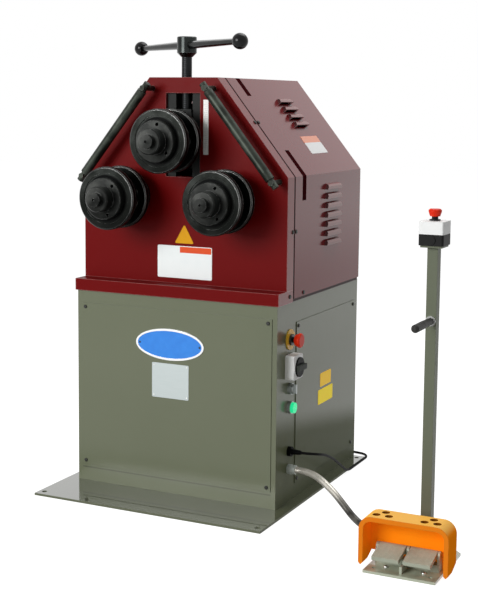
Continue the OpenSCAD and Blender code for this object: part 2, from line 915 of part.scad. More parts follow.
module lower_shaft(x) {
    color([0.25, 0.25, 0.25]) {
        shaft_nose(x, lower_z);
        rod_y(x, [roll_rear, plate_front - thrust_gap], lower_z, shoulder_d);
        rod_y(x, [roll_rear, rear_plate_rear], lower_z, shaft_d);
    }
}

module top_shaft() {
    color([0.25, 0.25, 0.25]) {
        shaft_nose(0, top_axis);
        rod_y(0, [roll_rear, car_front - thrust_gap], top_axis, neck_d);
        rod_y(0, [roll_rear, car_rear + center_depth], top_axis, shaft_d);
    }
}

// One roll: two discs and a core clamped side by side on the shaft
roll_edge = 3;
rim_step_d = 132;
rim_step_t = 2;

module roll_ring(x, y, z, d, t, edge) {
    bore = shaft_d / 2 + fit;
    translate([x, y, z]) rotate([-90, 0, 0])
        turned([[bore, 0], [d / 2 - edge, 0], [d / 2, edge], [d / 2, t - edge], [d / 2 - edge, t],
            [bore, t]]);
}

module roll(x, z) {
    color([0.12, 0.12, 0.12]) {
        difference() {
            roll_ring(x, roll_front, z, roll_d, disc_t, roll_edge);
            rod_y(x, [roll_front - over, roll_front + rim_step_t], z, rim_step_d);
        }
        ring_y(x, [roll_front + disc_t, roll_front + disc_t + groove_w], z, core_d, shaft_d + 2 * fit);
        roll_ring(x, roll_front + disc_t + groove_w, z, roll_d, disc_t, roll_edge);
    }
}

// Clamping cap with three spanner holes, and the shaft nut in front of it
cap_edge = 2;
cap_hole_d = 9;
cap_hole_circle = 88;
cap_holes = 3;
nut_edge = 3;

module roll_nut(x, z, turn) {
    bore = shaft_d / 2 + fit;
    color([0.14, 0.14, 0.14])
        translate([x, nut_front, z]) rotate([-90, 0, 0]) {
            turned([[bore, 0], [nut_d / 2 - nut_edge, 0], [nut_d / 2, nut_edge], [nut_d / 2, nut_t],
                [bore, nut_t]]);
            difference() {
                turned([[bore, nut_t], [cap_d / 2 - cap_edge, nut_t], [cap_d / 2, nut_t + cap_edge],
                    [cap_d / 2, nut_t + cap_t + rim_step_t], [bore, nut_t + cap_t + rim_step_t]]);
                for (i = [0 : cap_holes - 1])
                    rotate(turn + i * 360 / cap_holes)
                        translate([cap_hole_circle / 2, 0, nut_t - over])
                            cylinder(d = cap_hole_d, h = cap_t + 2 * over);
            }
        }
}

top_cap_turn = -80;
left_cap_turn = -50;
right_cap_turn = -65;

module top_roll() { roll(0, top_axis); }

module top_roll_nut() { roll_nut(0, top_axis, top_cap_turn); }

module left_shaft() { lower_shaft(-roll_x); }

module left_roll() { roll(-roll_x, lower_z); }

module left_roll_nut() { roll_nut(-roll_x, lower_z, left_cap_turn); }

module right_shaft() { lower_shaft(roll_x); }

module right_roll() { roll(roll_x, lower_z); }

module right_roll_nut() { roll_nut(roll_x, lower_z, right_cap_turn); }

// Involute spur gears: one pinion between the lower shafts turns both the same way
gear_teeth = 56;
pinion_teeth = 21;
pressure_a = 20;
backlash = 0.3;
root_share = 1.25;
gear_module = lower_pitch / (gear_teeth + pinion_teeth);

function involute(a) = tan(a) * 180 / PI - a;

// Half of a tooth's angle at radius r
function half_tooth(r, n) =
    let (pitch_r = gear_module * n / 2, base_r = pitch_r * cos(pressure_a))
    90 / n - backlash / pitch_r * 90 / PI + involute(pressure_a)
        - (r > base_r ? involute(acos(base_r / r)) : 0);

function gear_outline(n) =
    let (pitch_r = gear_module * n / 2,
        flank = [pitch_r - root_share * gear_module, pitch_r - gear_module / 2, pitch_r,
            pitch_r + gear_module / 2, pitch_r + gear_module],
        last = len(flank) - 1)
    [for (i = [0 : n - 1], side = [-1, 1], k = [0 : last])
        let (r = flank[side < 0 ? k : last - k], a = i * 360 / n + side * half_tooth(r, n))
        [r * cos(a), r * sin(a)]];

module gear(x, n, turn, bore) {
    translate([x, gear_front, lower_z]) rotate([-90, 0, 0])
        linear_extrude(gear_w)
            difference() {
                rotate(turn) polygon(gear_outline(n));
                circle(d = bore);
            }
}

module left_gear() {
    color("gray") gear(-roll_x, gear_teeth, 0, shaft_d + 2 * fit);
}

module right_gear() {
    color("gray") gear(roll_x, gear_teeth, 180 / gear_teeth, shaft_d + 2 * fit);
}

module drive_pinion() {
    color("silver") {
        gear(0, pinion_teeth, 0, pinion_shaft_d - over);
        rod_y(0, [gear_front, gearbox_mid - over], lower_z, pinion_shaft_d);
    }
}

// Switch bodies in the control strip: each has a bush through the sheet and a round bezel outside
bezel_d = 30;
bezel_t = 9;
bush_in = 40;
estop_ring_d = 54;
estop_ring_t = 3;
stem_d = 15;
start_bezel_d = 33;
button_d = 28;
button_proud = 8;
estop_neck_gap = 8;
estop_head_h = 17;
estop_skirt_share = 0.77;
estop_edge = 3;

module bezel(rise, flange_d, flange_t, bore) {
    x = cab_right;
    z = floor_t + rise;
    difference() {
        union() {
            rod_x([x - bush_in, x + over], control_y, z, bush_d);
            rod_x([x, x + flange_t], control_y, z, flange_d);
            rod_x([x, x + bezel_t], control_y, z, bezel_d);
        }
        rod_x([x - bush_in / 2, x + bezel_t + over], control_y, z, bore);
    }
}

module switch_bezels() {
    color("silver") {
        bezel(estop_rise, estop_ring_d, estop_ring_t, stem_d + 2 * fit);
        bezel(selector_rise, bezel_d, bezel_t, stem_d + 2 * fit);
        difference() {
            bezel(start_rise, start_bezel_d, bezel_t, stem_d + 2 * fit);
            rod_x([cab_right + over, cab_right + bezel_t + over], control_y, floor_t + start_rise,
                button_d + 2 * slide_fit);
        }
    }
}

// Mushroom on a stem along +Z: the stem starts below the origin, the flared cap above its own travel
module mushroom(d, neck, sink) {
    r = d / 2;
    top = neck + estop_head_h;
    turned([[0, -sink], [stem_d / 2, -sink], [stem_d / 2, neck], [r * estop_skirt_share, neck],
        [r, top - 2 * estop_edge], [r, top - estop_edge], [r - estop_edge, top], [0, top]]);
}

module estop_head() {
    color("red")
        translate([cab_right + bezel_t, control_y, floor_t + estop_rise]) rotate([0, 90, 0])
            mushroom(estop_d, estop_neck_gap, bezel_t);
}

// Isolator: a square box with a rotary handle on a round plate
isolator_depth = 25;
isolator_corner = 6;
dial_d = 55;
dial_t = 2;
knob_base_d = 52;
knob_base_t = 4;
knob_bar_w = 14;
knob_bar_t = 9;

module isolator_box() {
    color([0.8, 0.8, 0.78])
        translate([cab_right, control_y, floor_t + isolator_rise]) rotate([0, 90, 0]) {
            difference() {
                union() {
                    linear_extrude(isolator_depth) round_rect(isolator_h, isolator_w, isolator_corner);
                    cylinder(d = dial_d, h = isolator_depth + dial_t);
                }
                translate([0, 0, isolator_depth - stem_d])
                    cylinder(d = stem_d + 2 * fit, h = stem_d + dial_t + over);
            }
        }
}

module isolator_knob() {
    color([0.08, 0.08, 0.08])
        translate([cab_right + isolator_depth + dial_t, control_y, floor_t + isolator_rise])
            rotate([0, 90, 0]) {
                translate([0, 0, -dial_t - stem_d / 2]) cylinder(d = stem_d, h = dial_t + stem_d);
                translate([0, 0, slide_fit]) cylinder(d = knob_base_d, h = knob_base_t);
                translate([-knob_bar_w / 2, -knob_base_d / 2 + over, knob_base_t - over])
                    cube([knob_bar_w, knob_base_d - 2 * over, knob_bar_t]);
            }
}

// Selector with a raised finger bar, and the lit start button
selector_d = 26;
selector_t = 6;
selector_bar_w = 7;
selector_bar_t = 7;

module selector_knob() {
    color("dimgray")
        translate([cab_right + bezel_t, control_y, floor_t + selector_rise]) rotate([0, 90, 0]) {
            translate([0, 0, -bezel_t]) cylinder(d = stem_d, h = bezel_t + over);
            translate([0, 0, slide_fit]) cylinder(d = selector_d, h = selector_t);
            translate([-selector_d / 2 + over, -selector_bar_w / 2, selector_t - over])
                cube([selector_d - 2 * over, selector_bar_w, selector_bar_t]);
        }
}

button_travel = 4;

module start_button() {
    color("limegreen")
        translate([cab_right + bezel_t, control_y, floor_t + start_rise]) rotate([0, 90, 0]) {
            translate([0, 0, -bezel_t]) cylinder(d = stem_d, h = bezel_t);
            translate([0, 0, over + button_travel + slide_fit - bezel_t])
                cylinder(d = button_d, h = bezel_t - over - button_travel - slide_fit + button_proud);
        }
}

// Tapered gland of the mains cord, its thread through the sheet
cord_d = 7;
gland_nut_d = 26;
gland_nut_t = 10;
gland_cone_d = 16;
gland_tip_d = 11;
gland_len = 36;
gland_in = 16;

module mains_gland() {
    color([0.08, 0.08, 0.08])
        translate([cab_right, control_y, floor_t + gland_rise]) rotate([0, 90, 0])
            turned([[0, -gland_in], [gland_hole_d / 2, -gland_in], [gland_hole_d / 2, 0],
                [gland_nut_d / 2, 0], [gland_nut_d / 2, gland_nut_t], [gland_cone_d / 2, gland_nut_t],
                [gland_tip_d / 2, gland_len], [0, gland_len]]);
}

// A closed tube swept along a list of points, its end faces square to the given directions
function unit(v) = v / norm(v);

function heading(path, i, first, last) =
    i == 0 ? first : i == len(path) - 1 ? last : unit(path[i + 1] - path[i - 1]);

function ring_points(path, d, sides, first, last) =
    [for (i = [0 : len(path) - 1])
        let (h = heading(path, i, first, last),
            flat = unit(cross(abs(h[2]) > 0.9 ? [1, 0, 0] : [0, 0, 1], h)),
            rise = cross(h, flat))
        for (k = [0 : sides - 1])
            path[i] + d / 2 * (cos(k * 360 / sides) * flat + sin(k * 360 / sides) * rise)];

module tube(path, d, sides, first, last) {
    n = len(path);
    polyhedron(
        points = concat(ring_points(path, d, sides, first, last), [path[0], path[n - 1]]),
        faces = concat(
            [for (i = [0 : n - 2], k = [0 : sides - 1])
                [i * sides + k, (i + 1) * sides + k, (i + 1) * sides + (k + 1) % sides]],
            [for (i = [0 : n - 2], k = [0 : sides - 1])
                [i * sides + k, (i + 1) * sides + (k + 1) % sides, i * sides + (k + 1) % sides]],
            [for (k = [0 : sides - 1]) [n * sides, k, (k + 1) % sides]],
            [for (k = [0 : sides - 1])
                [n * sides + 1, (n - 1) * sides + (k + 1) % sides, (n - 1) * sides + k]]));
}

// A smooth curve through hand-chosen points, a few steps between each pair
function spline(p, steps) =
    let (last = len(p) - 1)
    concat([for (i = [0 : last - 1], s = [0 : steps - 1])
        let (t = s / steps,
            a = p[max(i - 1, 0)], b = p[i], c = p[i + 1], d = p[min(i + 2, last)])
        (2 * b + (c - a) * t + (2 * a - 5 * b + 4 * c - d) * t * t
            + (3 * b - a - 3 * c + d) * t * t * t) / 2], [p[last]]);

function path_len(p) =
    [for (i = [1 : len(p) - 1]) norm(p[i] - p[i - 1])] * [for (i = [1 : len(p) - 1]) 1];

// Route of the mains cord: out of the gland and down beside the cabinet, from the gland's hole, then along
// the floor plate's edge and round its rear corner to the coil, from the cabinet's rear corner
cord_fall = [[36, 0, 142], [45.4, 0.3, 142], [54.5, 2.6, 141.7], [62.5, 7.3, 140.9], [68.9, 14.1, 139.5],
    [73.2, 22.4, 137.4], [75.2, 31.7, 134.9], [75.8, 42, 132], [75.4, 60, 126.8], [73.2, 90, 116.5],
    [69, 128, 101.5], [64, 167, 84.5], [58, 207, 65.5], [51.5, 247, 46.5], [46, 284, 28.5],
    [41.9, 317, 13]];
cord_lay = [[39.2, -139, 5.2], [38.3, -106, 4], [38.2, -70, 4], [38.2, -35, 4], [38, -6, 4], [36, 9, 4],
    [29.5, 22, 4], [19, 31.5, 4], [4, 36.5, 4], [-24, 41, 4], [-60, 47, 4], [-98, 55, 4], [-132, 61, 4],
    [-165, 63, 4], [-200, 63, 4]];
cord_route = concat([for (p = cord_fall) [cab_right, control_y, 0] + p],
    [for (p = cord_lay) [cab_right, cab_rear, 0] + p]);
cord_steps = 3;
cord_path = spline(cord_route, cord_steps);

module mains_cord() {
    color([0.05, 0.05, 0.05]) tube(cord_path, cord_d, 8, [1, 0, 0], [-1, 0, 0]);
}

// The rest of the lead is coiled behind the cabinet: it spirals in, climbs a layer and spirals out
coil_turns = 4;
coil_rings = 24;
coil_step = 7.8;
coil_inner = 30;
coil_tail = 14;
coil_start = cord_route[len(cord_route) - 1];
coil_outer = coil_inner + coil_turns * coil_step;
coil_center = [coil_start[0] - cord_d, coil_start[1] + coil_outer, coil_start[2]];
coil_count = (2 * coil_turns + 1 / 2) * coil_rings;
coil_half = coil_count / 2;
coil_climb = coil_rings / 4;

// One point of the coil: i counts rings, the spiral reverses halfway and climbs round there
function coil_point(i) =
    let (inward = abs(i - coil_half) / coil_rings,
        r = coil_inner + (inward - 1 / 4) * coil_step,
        a = 270 - i * 360 / coil_rings,
        up = min(max((i - coil_half + coil_climb) / (2 * coil_climb), 0), 1))
    coil_center + [r * cos(a), r * sin(a), up * coil_step];

coil_exit = coil_point(coil_count);
coil_exit_way = unit(coil_exit - coil_point(coil_count - 1));
coil_path = concat([coil_start], [for (i = [0 : coil_count]) coil_point(i)],
    [coil_exit + coil_exit_way * cord_d, coil_exit + coil_exit_way * (cord_d + coil_tail)]);

module mains_coil() {
    color([0.05, 0.05, 0.05]) tube(coil_path, cord_d, 6, [-1, 0, 0], coil_exit_way);
}

coil_gap = min([for (i = [0 : len(coil_path) - 1], j = [i + coil_rings / 2 : len(coil_path) - 1])
    if (j < len(coil_path)) norm(coil_path[i] - coil_path[j])]) - cord_d;
echo(coil_gap = coil_gap, coil_length = path_len(coil_path), cord_length = path_len(cord_path));

// Plug at the end of the lead, lying on the coil's tail
plug_len = 44;
plug_d = 23;
plug_neck_d = 13;
plug_neck_len = 20;
pin_len = 18;
pin_d = 4;
pin_pitch = 7;

module mains_plug() {
    tip = coil_path[len(coil_path) - 1];
    color([0.06, 0.06, 0.06])
        translate(tip) rotate([0, 90, atan2(coil_exit_way[1], coil_exit_way[0])]) {
            turned([[0, 0], [plug_neck_d / 2, 0], [plug_neck_d / 2, plug_neck_len],
                [plug_d / 2, plug_neck_len + plug_neck_d / 2], [plug_d / 2, plug_neck_len + plug_len],
                [0, plug_neck_len + plug_len]]);
            for (y = [-pin_pitch, 0, pin_pitch])
                translate([0, y, plug_neck_len + plug_len - over]) cylinder(d = pin_d, h = pin_len);
        }
}

// Conduit from the cabinet to the foot switch, with a screwed fitting at each end
conduit_d = 18;
fitting_d = 26;
fitting_t = 10;
fitting_len = 22;
conduit_run = [[22, 0, 94], [40, -1, 94], [60, -6.5, 94], [84, -18, 92], [110, -33, 86],
    [134, -46, 76.5], [156, -57, 65], [176, -66, 51], [196, -75, 36.5], [216, -85, 23.5],
    [238, -97, 14.5], [262, -112, 10.5], [288, -130.5, 10.5], [312, -151, 13], [332, -173, 17.5],
    [348, -197, 23.5], [359.6, -222, 31.2], [365.6, -241, 37.2], [368, -256, 40]];
conduit_route = [for (p = conduit_run) [cab_right, control_y, 0] + p];
conduit_steps = 2;
conduit_path = spline(conduit_route, conduit_steps);

module fitting(len, sink) {
    turned([[0, -sink], [gland_hole_d / 2, -sink], [gland_hole_d / 2, 0], [fitting_d / 2, 0],
        [fitting_d / 2, fitting_t], [fitting_d / 2 - over, fitting_t],
        [fitting_d / 2 - over, len], [0, len]]);
}

module conduit_fittings() {
    far = conduit_route[len(conduit_route) - 1];
    color("silver") {
        translate([cab_right, control_y, floor_t + conduit_rise]) rotate([0, 90, 0])
            fitting(fitting_len, gland_in);
        translate([far[0], guard_rear, far[2]]) rotate([-90, 0, 0])
            fitting(fitting_len, 0);
    }
}

module conduit() {
    color([0.7, 0.7, 0.68]) tube(conduit_path, conduit_d, 12, [1, 0, 0], [0, -1, 0]);
}

// Base of the foot switch stand: a plate with clipped rear corners and two floor holes
base_front = cab_front - stand_ahead;
stand_x = cab_right + stand_out;
base_rear = base_front + stand_d;
base_cut = 38;
base_hole_d = 9;
base_hole_side = 18;
base_hole_front = 24;
stand_left = stand_x - stand_w / 2;
stand_right = stand_x + stand_w / 2;

module stand_base() {
    color([0.5, 0.5, 0.48])
        difference() {
            linear_extrude(stand_t)
                polygon([[stand_left, base_front], [stand_right, base_front],
                    [stand_right, base_rear - base_cut], [stand_right - base_cut, base_rear],
                    [stand_left + base_cut, base_rear], [stand_left, base_rear - base_cut]]);
            for (x = [stand_left + base_hole_side, stand_right - base_hole_side])
                rod_z(x, base_front + base_hole_front, [-over, stand_t + over], base_hole_d);
        }
}

// Square tube pole, with a top plate for the button box
pole_wall = 2;
pole_back = 34;
pole_y = base_rear - pole_back;
pole_top_t = 4;
pole_z = [stand_t, stand_t + pole_h];

module pole_tube(side, z) {
    block([stand_x - side / 2, stand_x + side / 2], [pole_y - side / 2, pole_y + side / 2], z);
}

module stand_pole() {
    color([0.42, 0.44, 0.37])
        difference() {
            union() {
                pole_tube(pole_side, pole_z);
                pole_tube(box_side - 2 * pole_top_t, [pole_z[1] - over, pole_z[1] + pole_top_t]);
            }
            pole_tube(pole_side - 2 * pole_wall, [pole_z[0] - over, pole_z[1] - over]);
            rod_y(stand_x, [pole_y - pole_side, pole_y + pole_side], stand_t + grip_rise,
                grip_bolt_d + 2 * fit);
        }
}

// Peg grip bolted through the pole
grip_len = 122;
grip_d = 19;
grip_root_d = 16;
grip_washer_d = 24;
grip_washer_t = 3;
grip_bolt_d = 8;
grip_bolt_head = 15;
grip_bolt_t = 5;
grip_end = 6;

module stand_grip() {
    face = pole_y - pole_side / 2;
    back = pole_y + pole_side / 2;
    z = stand_t + grip_rise;
    color([0.07, 0.07, 0.07]) {
        translate([stand_x, face, z]) rotate([90, 0, 0])
            turned([[0, 0], [grip_washer_d / 2, 0], [grip_washer_d / 2, grip_washer_t],
                [grip_root_d / 2, grip_washer_t], [grip_d / 2, grip_len / 2],
                [grip_d / 2, grip_len - grip_end], [grip_d / 2 - grip_end, grip_len], [0, grip_len]]);
        rod_y(stand_x, [face - over, back + over], z, grip_bolt_d);
        rod_y(stand_x, [back, back + grip_bolt_t], z, grip_bolt_head);
    }
}

// Button box on top of the pole: black lower half, pale lid with the stop button
box_low_h = 26;
box_lid_h = 30;
box_corner = 5;
knockout_d = 22;
knockout_t = 2;
stand_collar_d = 26;
stand_collar_h = 3.5;
stand_estop_d = 31;
stand_neck_gap = 7;
box_z = pole_z[1] + pole_top_t;
lid_z = box_z + box_low_h;
lid_top = lid_z + box_lid_h;

module button_box() {
    color([0.1, 0.1, 0.1]) {
        translate([stand_x, pole_y, box_z])
            linear_extrude(box_low_h) round_rect(box_side, box_side, box_corner);
        rod_y(stand_x, [pole_y - box_side / 2 - knockout_t, pole_y - box_side / 2 + over],
            box_z + box_low_h / 2, knockout_d);
    }
}

module button_box_lid() {
    color([0.9, 0.9, 0.88])
        difference() {
            union() {
                translate([stand_x, pole_y, lid_z])
                    linear_extrude(box_lid_h) round_rect(box_side, box_side, box_corner);
                rod_z(stand_x, pole_y, [lid_top - over, lid_top + stand_collar_h], stand_collar_d);
            }
            rod_z(stand_x, pole_y, [lid_z + box_lid_h / 2, lid_top + stand_collar_h + over],
                stem_d + 2 * fit);
        }
}

module stand_estop_head() {
    color("red")
        translate([stand_x, pole_y, lid_top + stand_collar_h])
            mushroom(stand_estop_d, stand_neck_gap, stand_collar_h);
}

// Pedal guard: a cast hood over the pedals, open at the front, with a back wall that stands on the base
guard_setback = 26;
guard_corner = 30;
guard_foot = 5;
guard_foot_rear = 26;
guard_tip = 7;
guard_back_t = 6;
hood_hole_d = 18;
hood_group = 57;
hood_pair = 15;
hood_pair_front = 24;
hood_single_front = 47;
guard_front = base_front + guard_setback;
guard_rear = guard_front + guard_d;

// Outline of the hood from the front, with round top corners and pointed feet
module hood_outline(w, low, high, corner) {
    translate([stand_x, 0])
        intersection() {
            translate([0, high - w]) round_rect(w, 2 * w, corner);
            translate([-w / 2, low]) square([w, high - low]);
        }
}

module pedal_guard() {
    inner = guard_w - 2 * guard_t;
    color("orange")
        difference() {
            union() {
                difference() {
                    slab_y([guard_front, guard_rear])
                        hood_outline(guard_w, guard_foot, guard_h, guard_corner);
                    slab_y([guard_front - over, guard_rear + over])
                        hood_outline(inner, guard_foot - over, guard_h - guard_t, guard_corner - guard_t);
                }
                slab_y([guard_rear - guard_back_t, guard_rear])
                    hood_outline(inner + over, guard_foot_rear, guard_h - guard_t + over,
                        guard_corner - guard_t);
                block([stand_left + over, stand_right - over], [guard_rear - guard_back_t, guard_rear],
                    [stand_t, guard_foot_rear + over]);
            }
            // The side walls' feet rise towards the rear
            translate([stand_x - guard_w, 0, 0]) rotate([90, 0, 90])
                linear_extrude(guard_w - stand_w / 2)
                    polygon([[guard_front + guard_t, guard_foot - over],
                        [guard_rear + over, guard_foot_rear], [guard_rear + over, guard_foot - over]]);
            translate([stand_x + stand_w / 2, 0, 0]) rotate([90, 0, 90])
                linear_extrude(guard_w - stand_w / 2)
                    polygon([[guard_front + guard_t, guard_foot - over],
                        [guard_rear + over, guard_foot_rear], [guard_rear + over, guard_foot - over]]);
            // The feet end in a point, seen from the front
            for (x = [-guard_w / 2, -inner / 2, inner / 2, guard_w / 2])
                translate([stand_x + x, 0, guard_foot]) rotate([0, 45, 0])
                    block([-guard_t / 2, guard_t / 2], [guard_front - over, guard_rear + over],
                        [-guard_t / 2, guard_t / 2]);
            for (side = [-1, 1], p = [[-hood_pair, hood_pair_front], [hood_pair, hood_pair_front],
                [0, hood_single_front]])
                rod_z(stand_x + side * hood_group + p[0], guard_front + p[1],
                    [guard_h - guard_t - over, guard_h + over], hood_hole_d);
        }
}

// Switch body under the pedals, with three lugs for the pedal axle and a rib between the pedals
axle_d = 8;
axle_rise = 42;
axle_front = 46;
body_h = 16;
body_back = 34;
lug_t = 6;
lug_gap = 1;
rib_front = 14;
pedal_gap = 2;
axle_y = guard_front + axle_front;
axle_z = axle_rise;

module lug(x) {
    rod_x([x, x + lug_t], axle_y, axle_z, axle_d + 2 * lug_t);
    block([x, x + lug_t], [axle_y - axle_d / 2 - lug_t, axle_y + axle_d / 2 + lug_t],
        [stand_t + body_h - over, axle_z]);
}

lug_x = [stand_x - lug_t / 2 - pedal_gap - pedal_w - lug_gap - lug_t, stand_x - lug_t / 2,
    stand_x + lug_t / 2 + pedal_gap + pedal_w + lug_gap];

module pedal_switch_body() {
    color([0.55, 0.54, 0.5])
        difference() {
            union() {
                block([lug_x[0], lug_x[2] + lug_t], [guard_front + body_back, guard_rear - guard_back_t],
                    [stand_t, stand_t + body_h]);
                for (x = lug_x) lug(x);
                block([stand_x - lug_t / 2, stand_x + lug_t / 2], [base_front + rib_front, axle_y],
                    [stand_t, stand_t + body_h]);
            }
            rod_x([lug_x[0] - over, lug_x[2] + lug_t + over], axle_y, axle_z, axle_d + 2 * fit);
        }
}

module pedal_axle() {
    color("silver") rod_x([lug_x[0], lug_x[2] + lug_t], axle_y, axle_z, axle_d);
}

// Ribbed pedal: a sloping tread on the axle's barrel
tread_t = 9;
tread_len = 60;
tread_a = 14;
tread_ribs = 14;
tread_rib_h = 0.7;
tread_rib_w = 2.2;
barrel_d = 20;

// Side view of a pedal: barrel, tread and ribs, with X to the rear and Y up
module pedal_outline() {
    pitch = tread_len / tread_ribs;
    difference() {
        union() {
            circle(d = barrel_d);
            rotate(tread_a) {
                translate([-tread_len, 0]) square([tread_len, tread_t]);
                for (i = [0 : tread_ribs - 2])
                    translate([-tread_len + (i + 1 / 2) * pitch, tread_t - over])
                        square([tread_rib_w, tread_rib_h + over]);
            }
        }
        circle(d = axle_d + 2 * fit);
    }
}

module pedal(x) {
    color([0.62, 0.6, 0.56])
        translate([x, axle_y, axle_z]) rotate([90, 0, 90])
            linear_extrude(pedal_w) pedal_outline();
}

module pedal_left() { pedal(stand_x - lug_t / 2 - pedal_gap - pedal_w); }

module pedal_right() { pedal(stand_x + lug_t / 2 + pedal_gap); }

floor_plate();
cabinet_shell();
access_panels();
panel_screws();
head_base();
front_plate();
guide_rails();
carriage_gibs();
lead_nut();
rear_bearing_plate();
tie_bars();
lower_bearings();
bearing_caps();
rear_cover();
cover_screws();
guide_bars();
gearbox();
drive_motor();
carriage();
carriage_bearings();
screw_keeper();
adjusting_screw();
handle_hub();
handle_bar();
ball_knobs();
top_shaft();
top_roll();
top_roll_nut();
left_shaft();
left_roll();
left_roll_nut();
left_gear();
right_shaft();
right_roll();
right_roll_nut();
right_gear();
drive_pinion();
switch_bezels();
estop_head();
isolator_box();
isolator_knob();
selector_knob();
start_button();
mains_gland();
mains_cord();
mains_coil();
mains_plug();
conduit_fittings();
conduit();
stand_base();
stand_pole();
stand_grip();
button_box();
button_box_lid();
stand_estop_head();
pedal_guard();
pedal_switch_body();
pedal_axle();
pedal_left();
pedal_right();
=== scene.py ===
import math

import bmesh
import bpy
from mathutils import Matrix, Vector


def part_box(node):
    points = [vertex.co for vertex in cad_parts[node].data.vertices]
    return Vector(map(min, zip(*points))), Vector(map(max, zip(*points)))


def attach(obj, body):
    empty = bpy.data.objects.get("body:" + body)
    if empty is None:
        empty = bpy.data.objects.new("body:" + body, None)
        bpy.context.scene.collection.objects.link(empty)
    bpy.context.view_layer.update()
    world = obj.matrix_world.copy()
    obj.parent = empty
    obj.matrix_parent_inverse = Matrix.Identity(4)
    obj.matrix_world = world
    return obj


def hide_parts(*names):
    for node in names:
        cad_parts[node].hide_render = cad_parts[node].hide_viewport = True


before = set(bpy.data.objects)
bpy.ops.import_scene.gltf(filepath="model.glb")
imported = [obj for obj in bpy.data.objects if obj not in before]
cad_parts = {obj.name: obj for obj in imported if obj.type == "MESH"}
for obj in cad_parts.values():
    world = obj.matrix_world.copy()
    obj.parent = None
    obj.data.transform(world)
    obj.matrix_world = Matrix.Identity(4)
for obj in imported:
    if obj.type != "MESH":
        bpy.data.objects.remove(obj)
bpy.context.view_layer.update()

# Camera: a long lens a little above bench height, to the operator's right, looking
# slightly down at the machine. The shift keeps the machine and its stand in the frame.
eye = Vector((1.5849, -3.0640, 1.0579))
azimuth = math.radians(25.40)
elevation = math.radians(6.43)
roll = math.radians(0.58)
right = Vector((math.cos(azimuth), math.sin(azimuth), 0))
back = Vector((math.sin(azimuth) * math.cos(elevation), -math.cos(azimuth) * math.cos(elevation),
               math.sin(elevation)))
turn = Matrix((right, back.cross(right), back)).transposed() @ Matrix.Rotation(roll, 3, "Z")
camera_data = bpy.data.cameras.new("camera")
camera_data.lens = 75.08
camera_data.sensor_width = 36
camera_data.shift_x = -0.0218
camera_data.shift_y = -0.0978
camera = bpy.data.objects.new("camera", camera_data)
camera.matrix_world = Matrix.Translation(eye) @ turn.to_4x4()
bpy.context.scene.collection.objects.link(camera)
bpy.context.scene.camera = camera

# Mains lead: a round black rubber cable of three cores. It leaves the gland on the
# cabinet's side, drops to the floor beside the plate and is coiled behind the cabinet.
mm = 0.001
lead_d = 7 * mm
lead_sides = 14
lead_steps = 4
lead_route = [
    (336, -122, 142), (345.4, -121.7, 142), (354.5, -119.4, 141.7), (362.5, -114.7, 140.9),
    (368.9, -107.9, 139.5), (373.2, -99.6, 137.4), (375.2, -90.3, 134.9), (375.8, -80, 132),
    (375.4, -62, 126.8), (373.2, -32, 116.5), (369, 6, 101.5), (364, 45, 84.5), (358, 85, 65.5),
    (351.5, 125, 46.5), (346, 162, 28.5), (341.9, 195, 13), (339.2, 228, 5.2), (338.3, 261, 4),
    (338.2, 297, 4), (338.2, 332, 4), (338, 361, 4), (336, 376, 4), (329.5, 389, 4), (319, 398.5, 4),
    (304, 403.5, 4), (276, 408, 4), (240, 414, 4), (202, 422, 4), (168, 428, 4), (135, 430, 4),
    (100, 430, 4)]
coil_turns = 4
coil_rings = 24
coil_step = 7.8 * mm
coil_inner = 30 * mm
coil_tail = 14 * mm
coil_steps = 2


def smooth_path(points, steps):
    """A smooth line through given points, with a few steps between each pair."""
    knots = [points[0], *points, points[-1]]
    line = []
    for a, b, c, d in zip(knots, knots[1:], knots[2:], knots[3:]):
        for step in range(steps):
            t = step / steps
            line.append((2 * b + (c - a) * t + (2 * a - 5 * b + 4 * c - d) * t * t
                         + (3 * b - a - 3 * c + d) * t * t * t) / 2)
    return line + [points[-1]]


def mesh_object(name, mesh):
    """A finished bmesh becomes an object of the scene, with its faces turned outwards."""
    data = bpy.data.meshes.new(name)
    bmesh.ops.recalc_face_normals(mesh, faces=mesh.faces)
    mesh.to_mesh(data)
    mesh.free()
    made = bpy.data.objects.new(name, data)
    bpy.context.scene.collection.objects.link(made)
    return made


def circle(mesh, middle, side, across, radius, count):
    """New vertices round a circle that lies in the plane of side and across."""
    angles = [math.tau * k / count for k in range(count)]
    return [mesh.verts.new(middle + radius * (math.cos(a) * side + math.sin(a) * across)) for a in angles]


def loft(mesh, rings, smooth=False, ends=True):
    """Quads from each ring of vertices to the next, and a flat face over both ends."""
    for a, b in zip(rings, rings[1:]):
        for k in range(len(a)):
            mesh.faces.new((a[k - 1], a[k], b[k], b[k - 1])).smooth = smooth
    if ends:
        mesh.faces.new(rings[0])
        mesh.faces.new(rings[-1])


def tube(name, path, radii, sides):
    """A round tube along a path, one radius for each point, closed at both ends."""
    mesh = bmesh.new()
    rings = []
    side = Vector((0, 0, 1))
    for i, (point, radius) in enumerate(zip(path, radii)):
        forward = (path[min(i + 1, len(path) - 1)] - path[max(i - 1, 0)]).normalized()
        side = (side - forward * side.dot(forward)).normalized()
        rings.append(circle(mesh, point, side, forward.cross(side), radius, sides))
    loft(mesh, rings, smooth=True)
    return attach(mesh_object(name, mesh), "frame")


lead_path = smooth_path([Vector(p) * mm for p in lead_route], lead_steps)
coil_start = lead_path[-1]
coil_outer = coil_inner + coil_turns * coil_step
coil_center = coil_start + Vector((-lead_d, coil_outer, 0))
coil_count = (2 * coil_turns + 0.5) * coil_rings
coil_climb = coil_rings / 4
coil_points = []
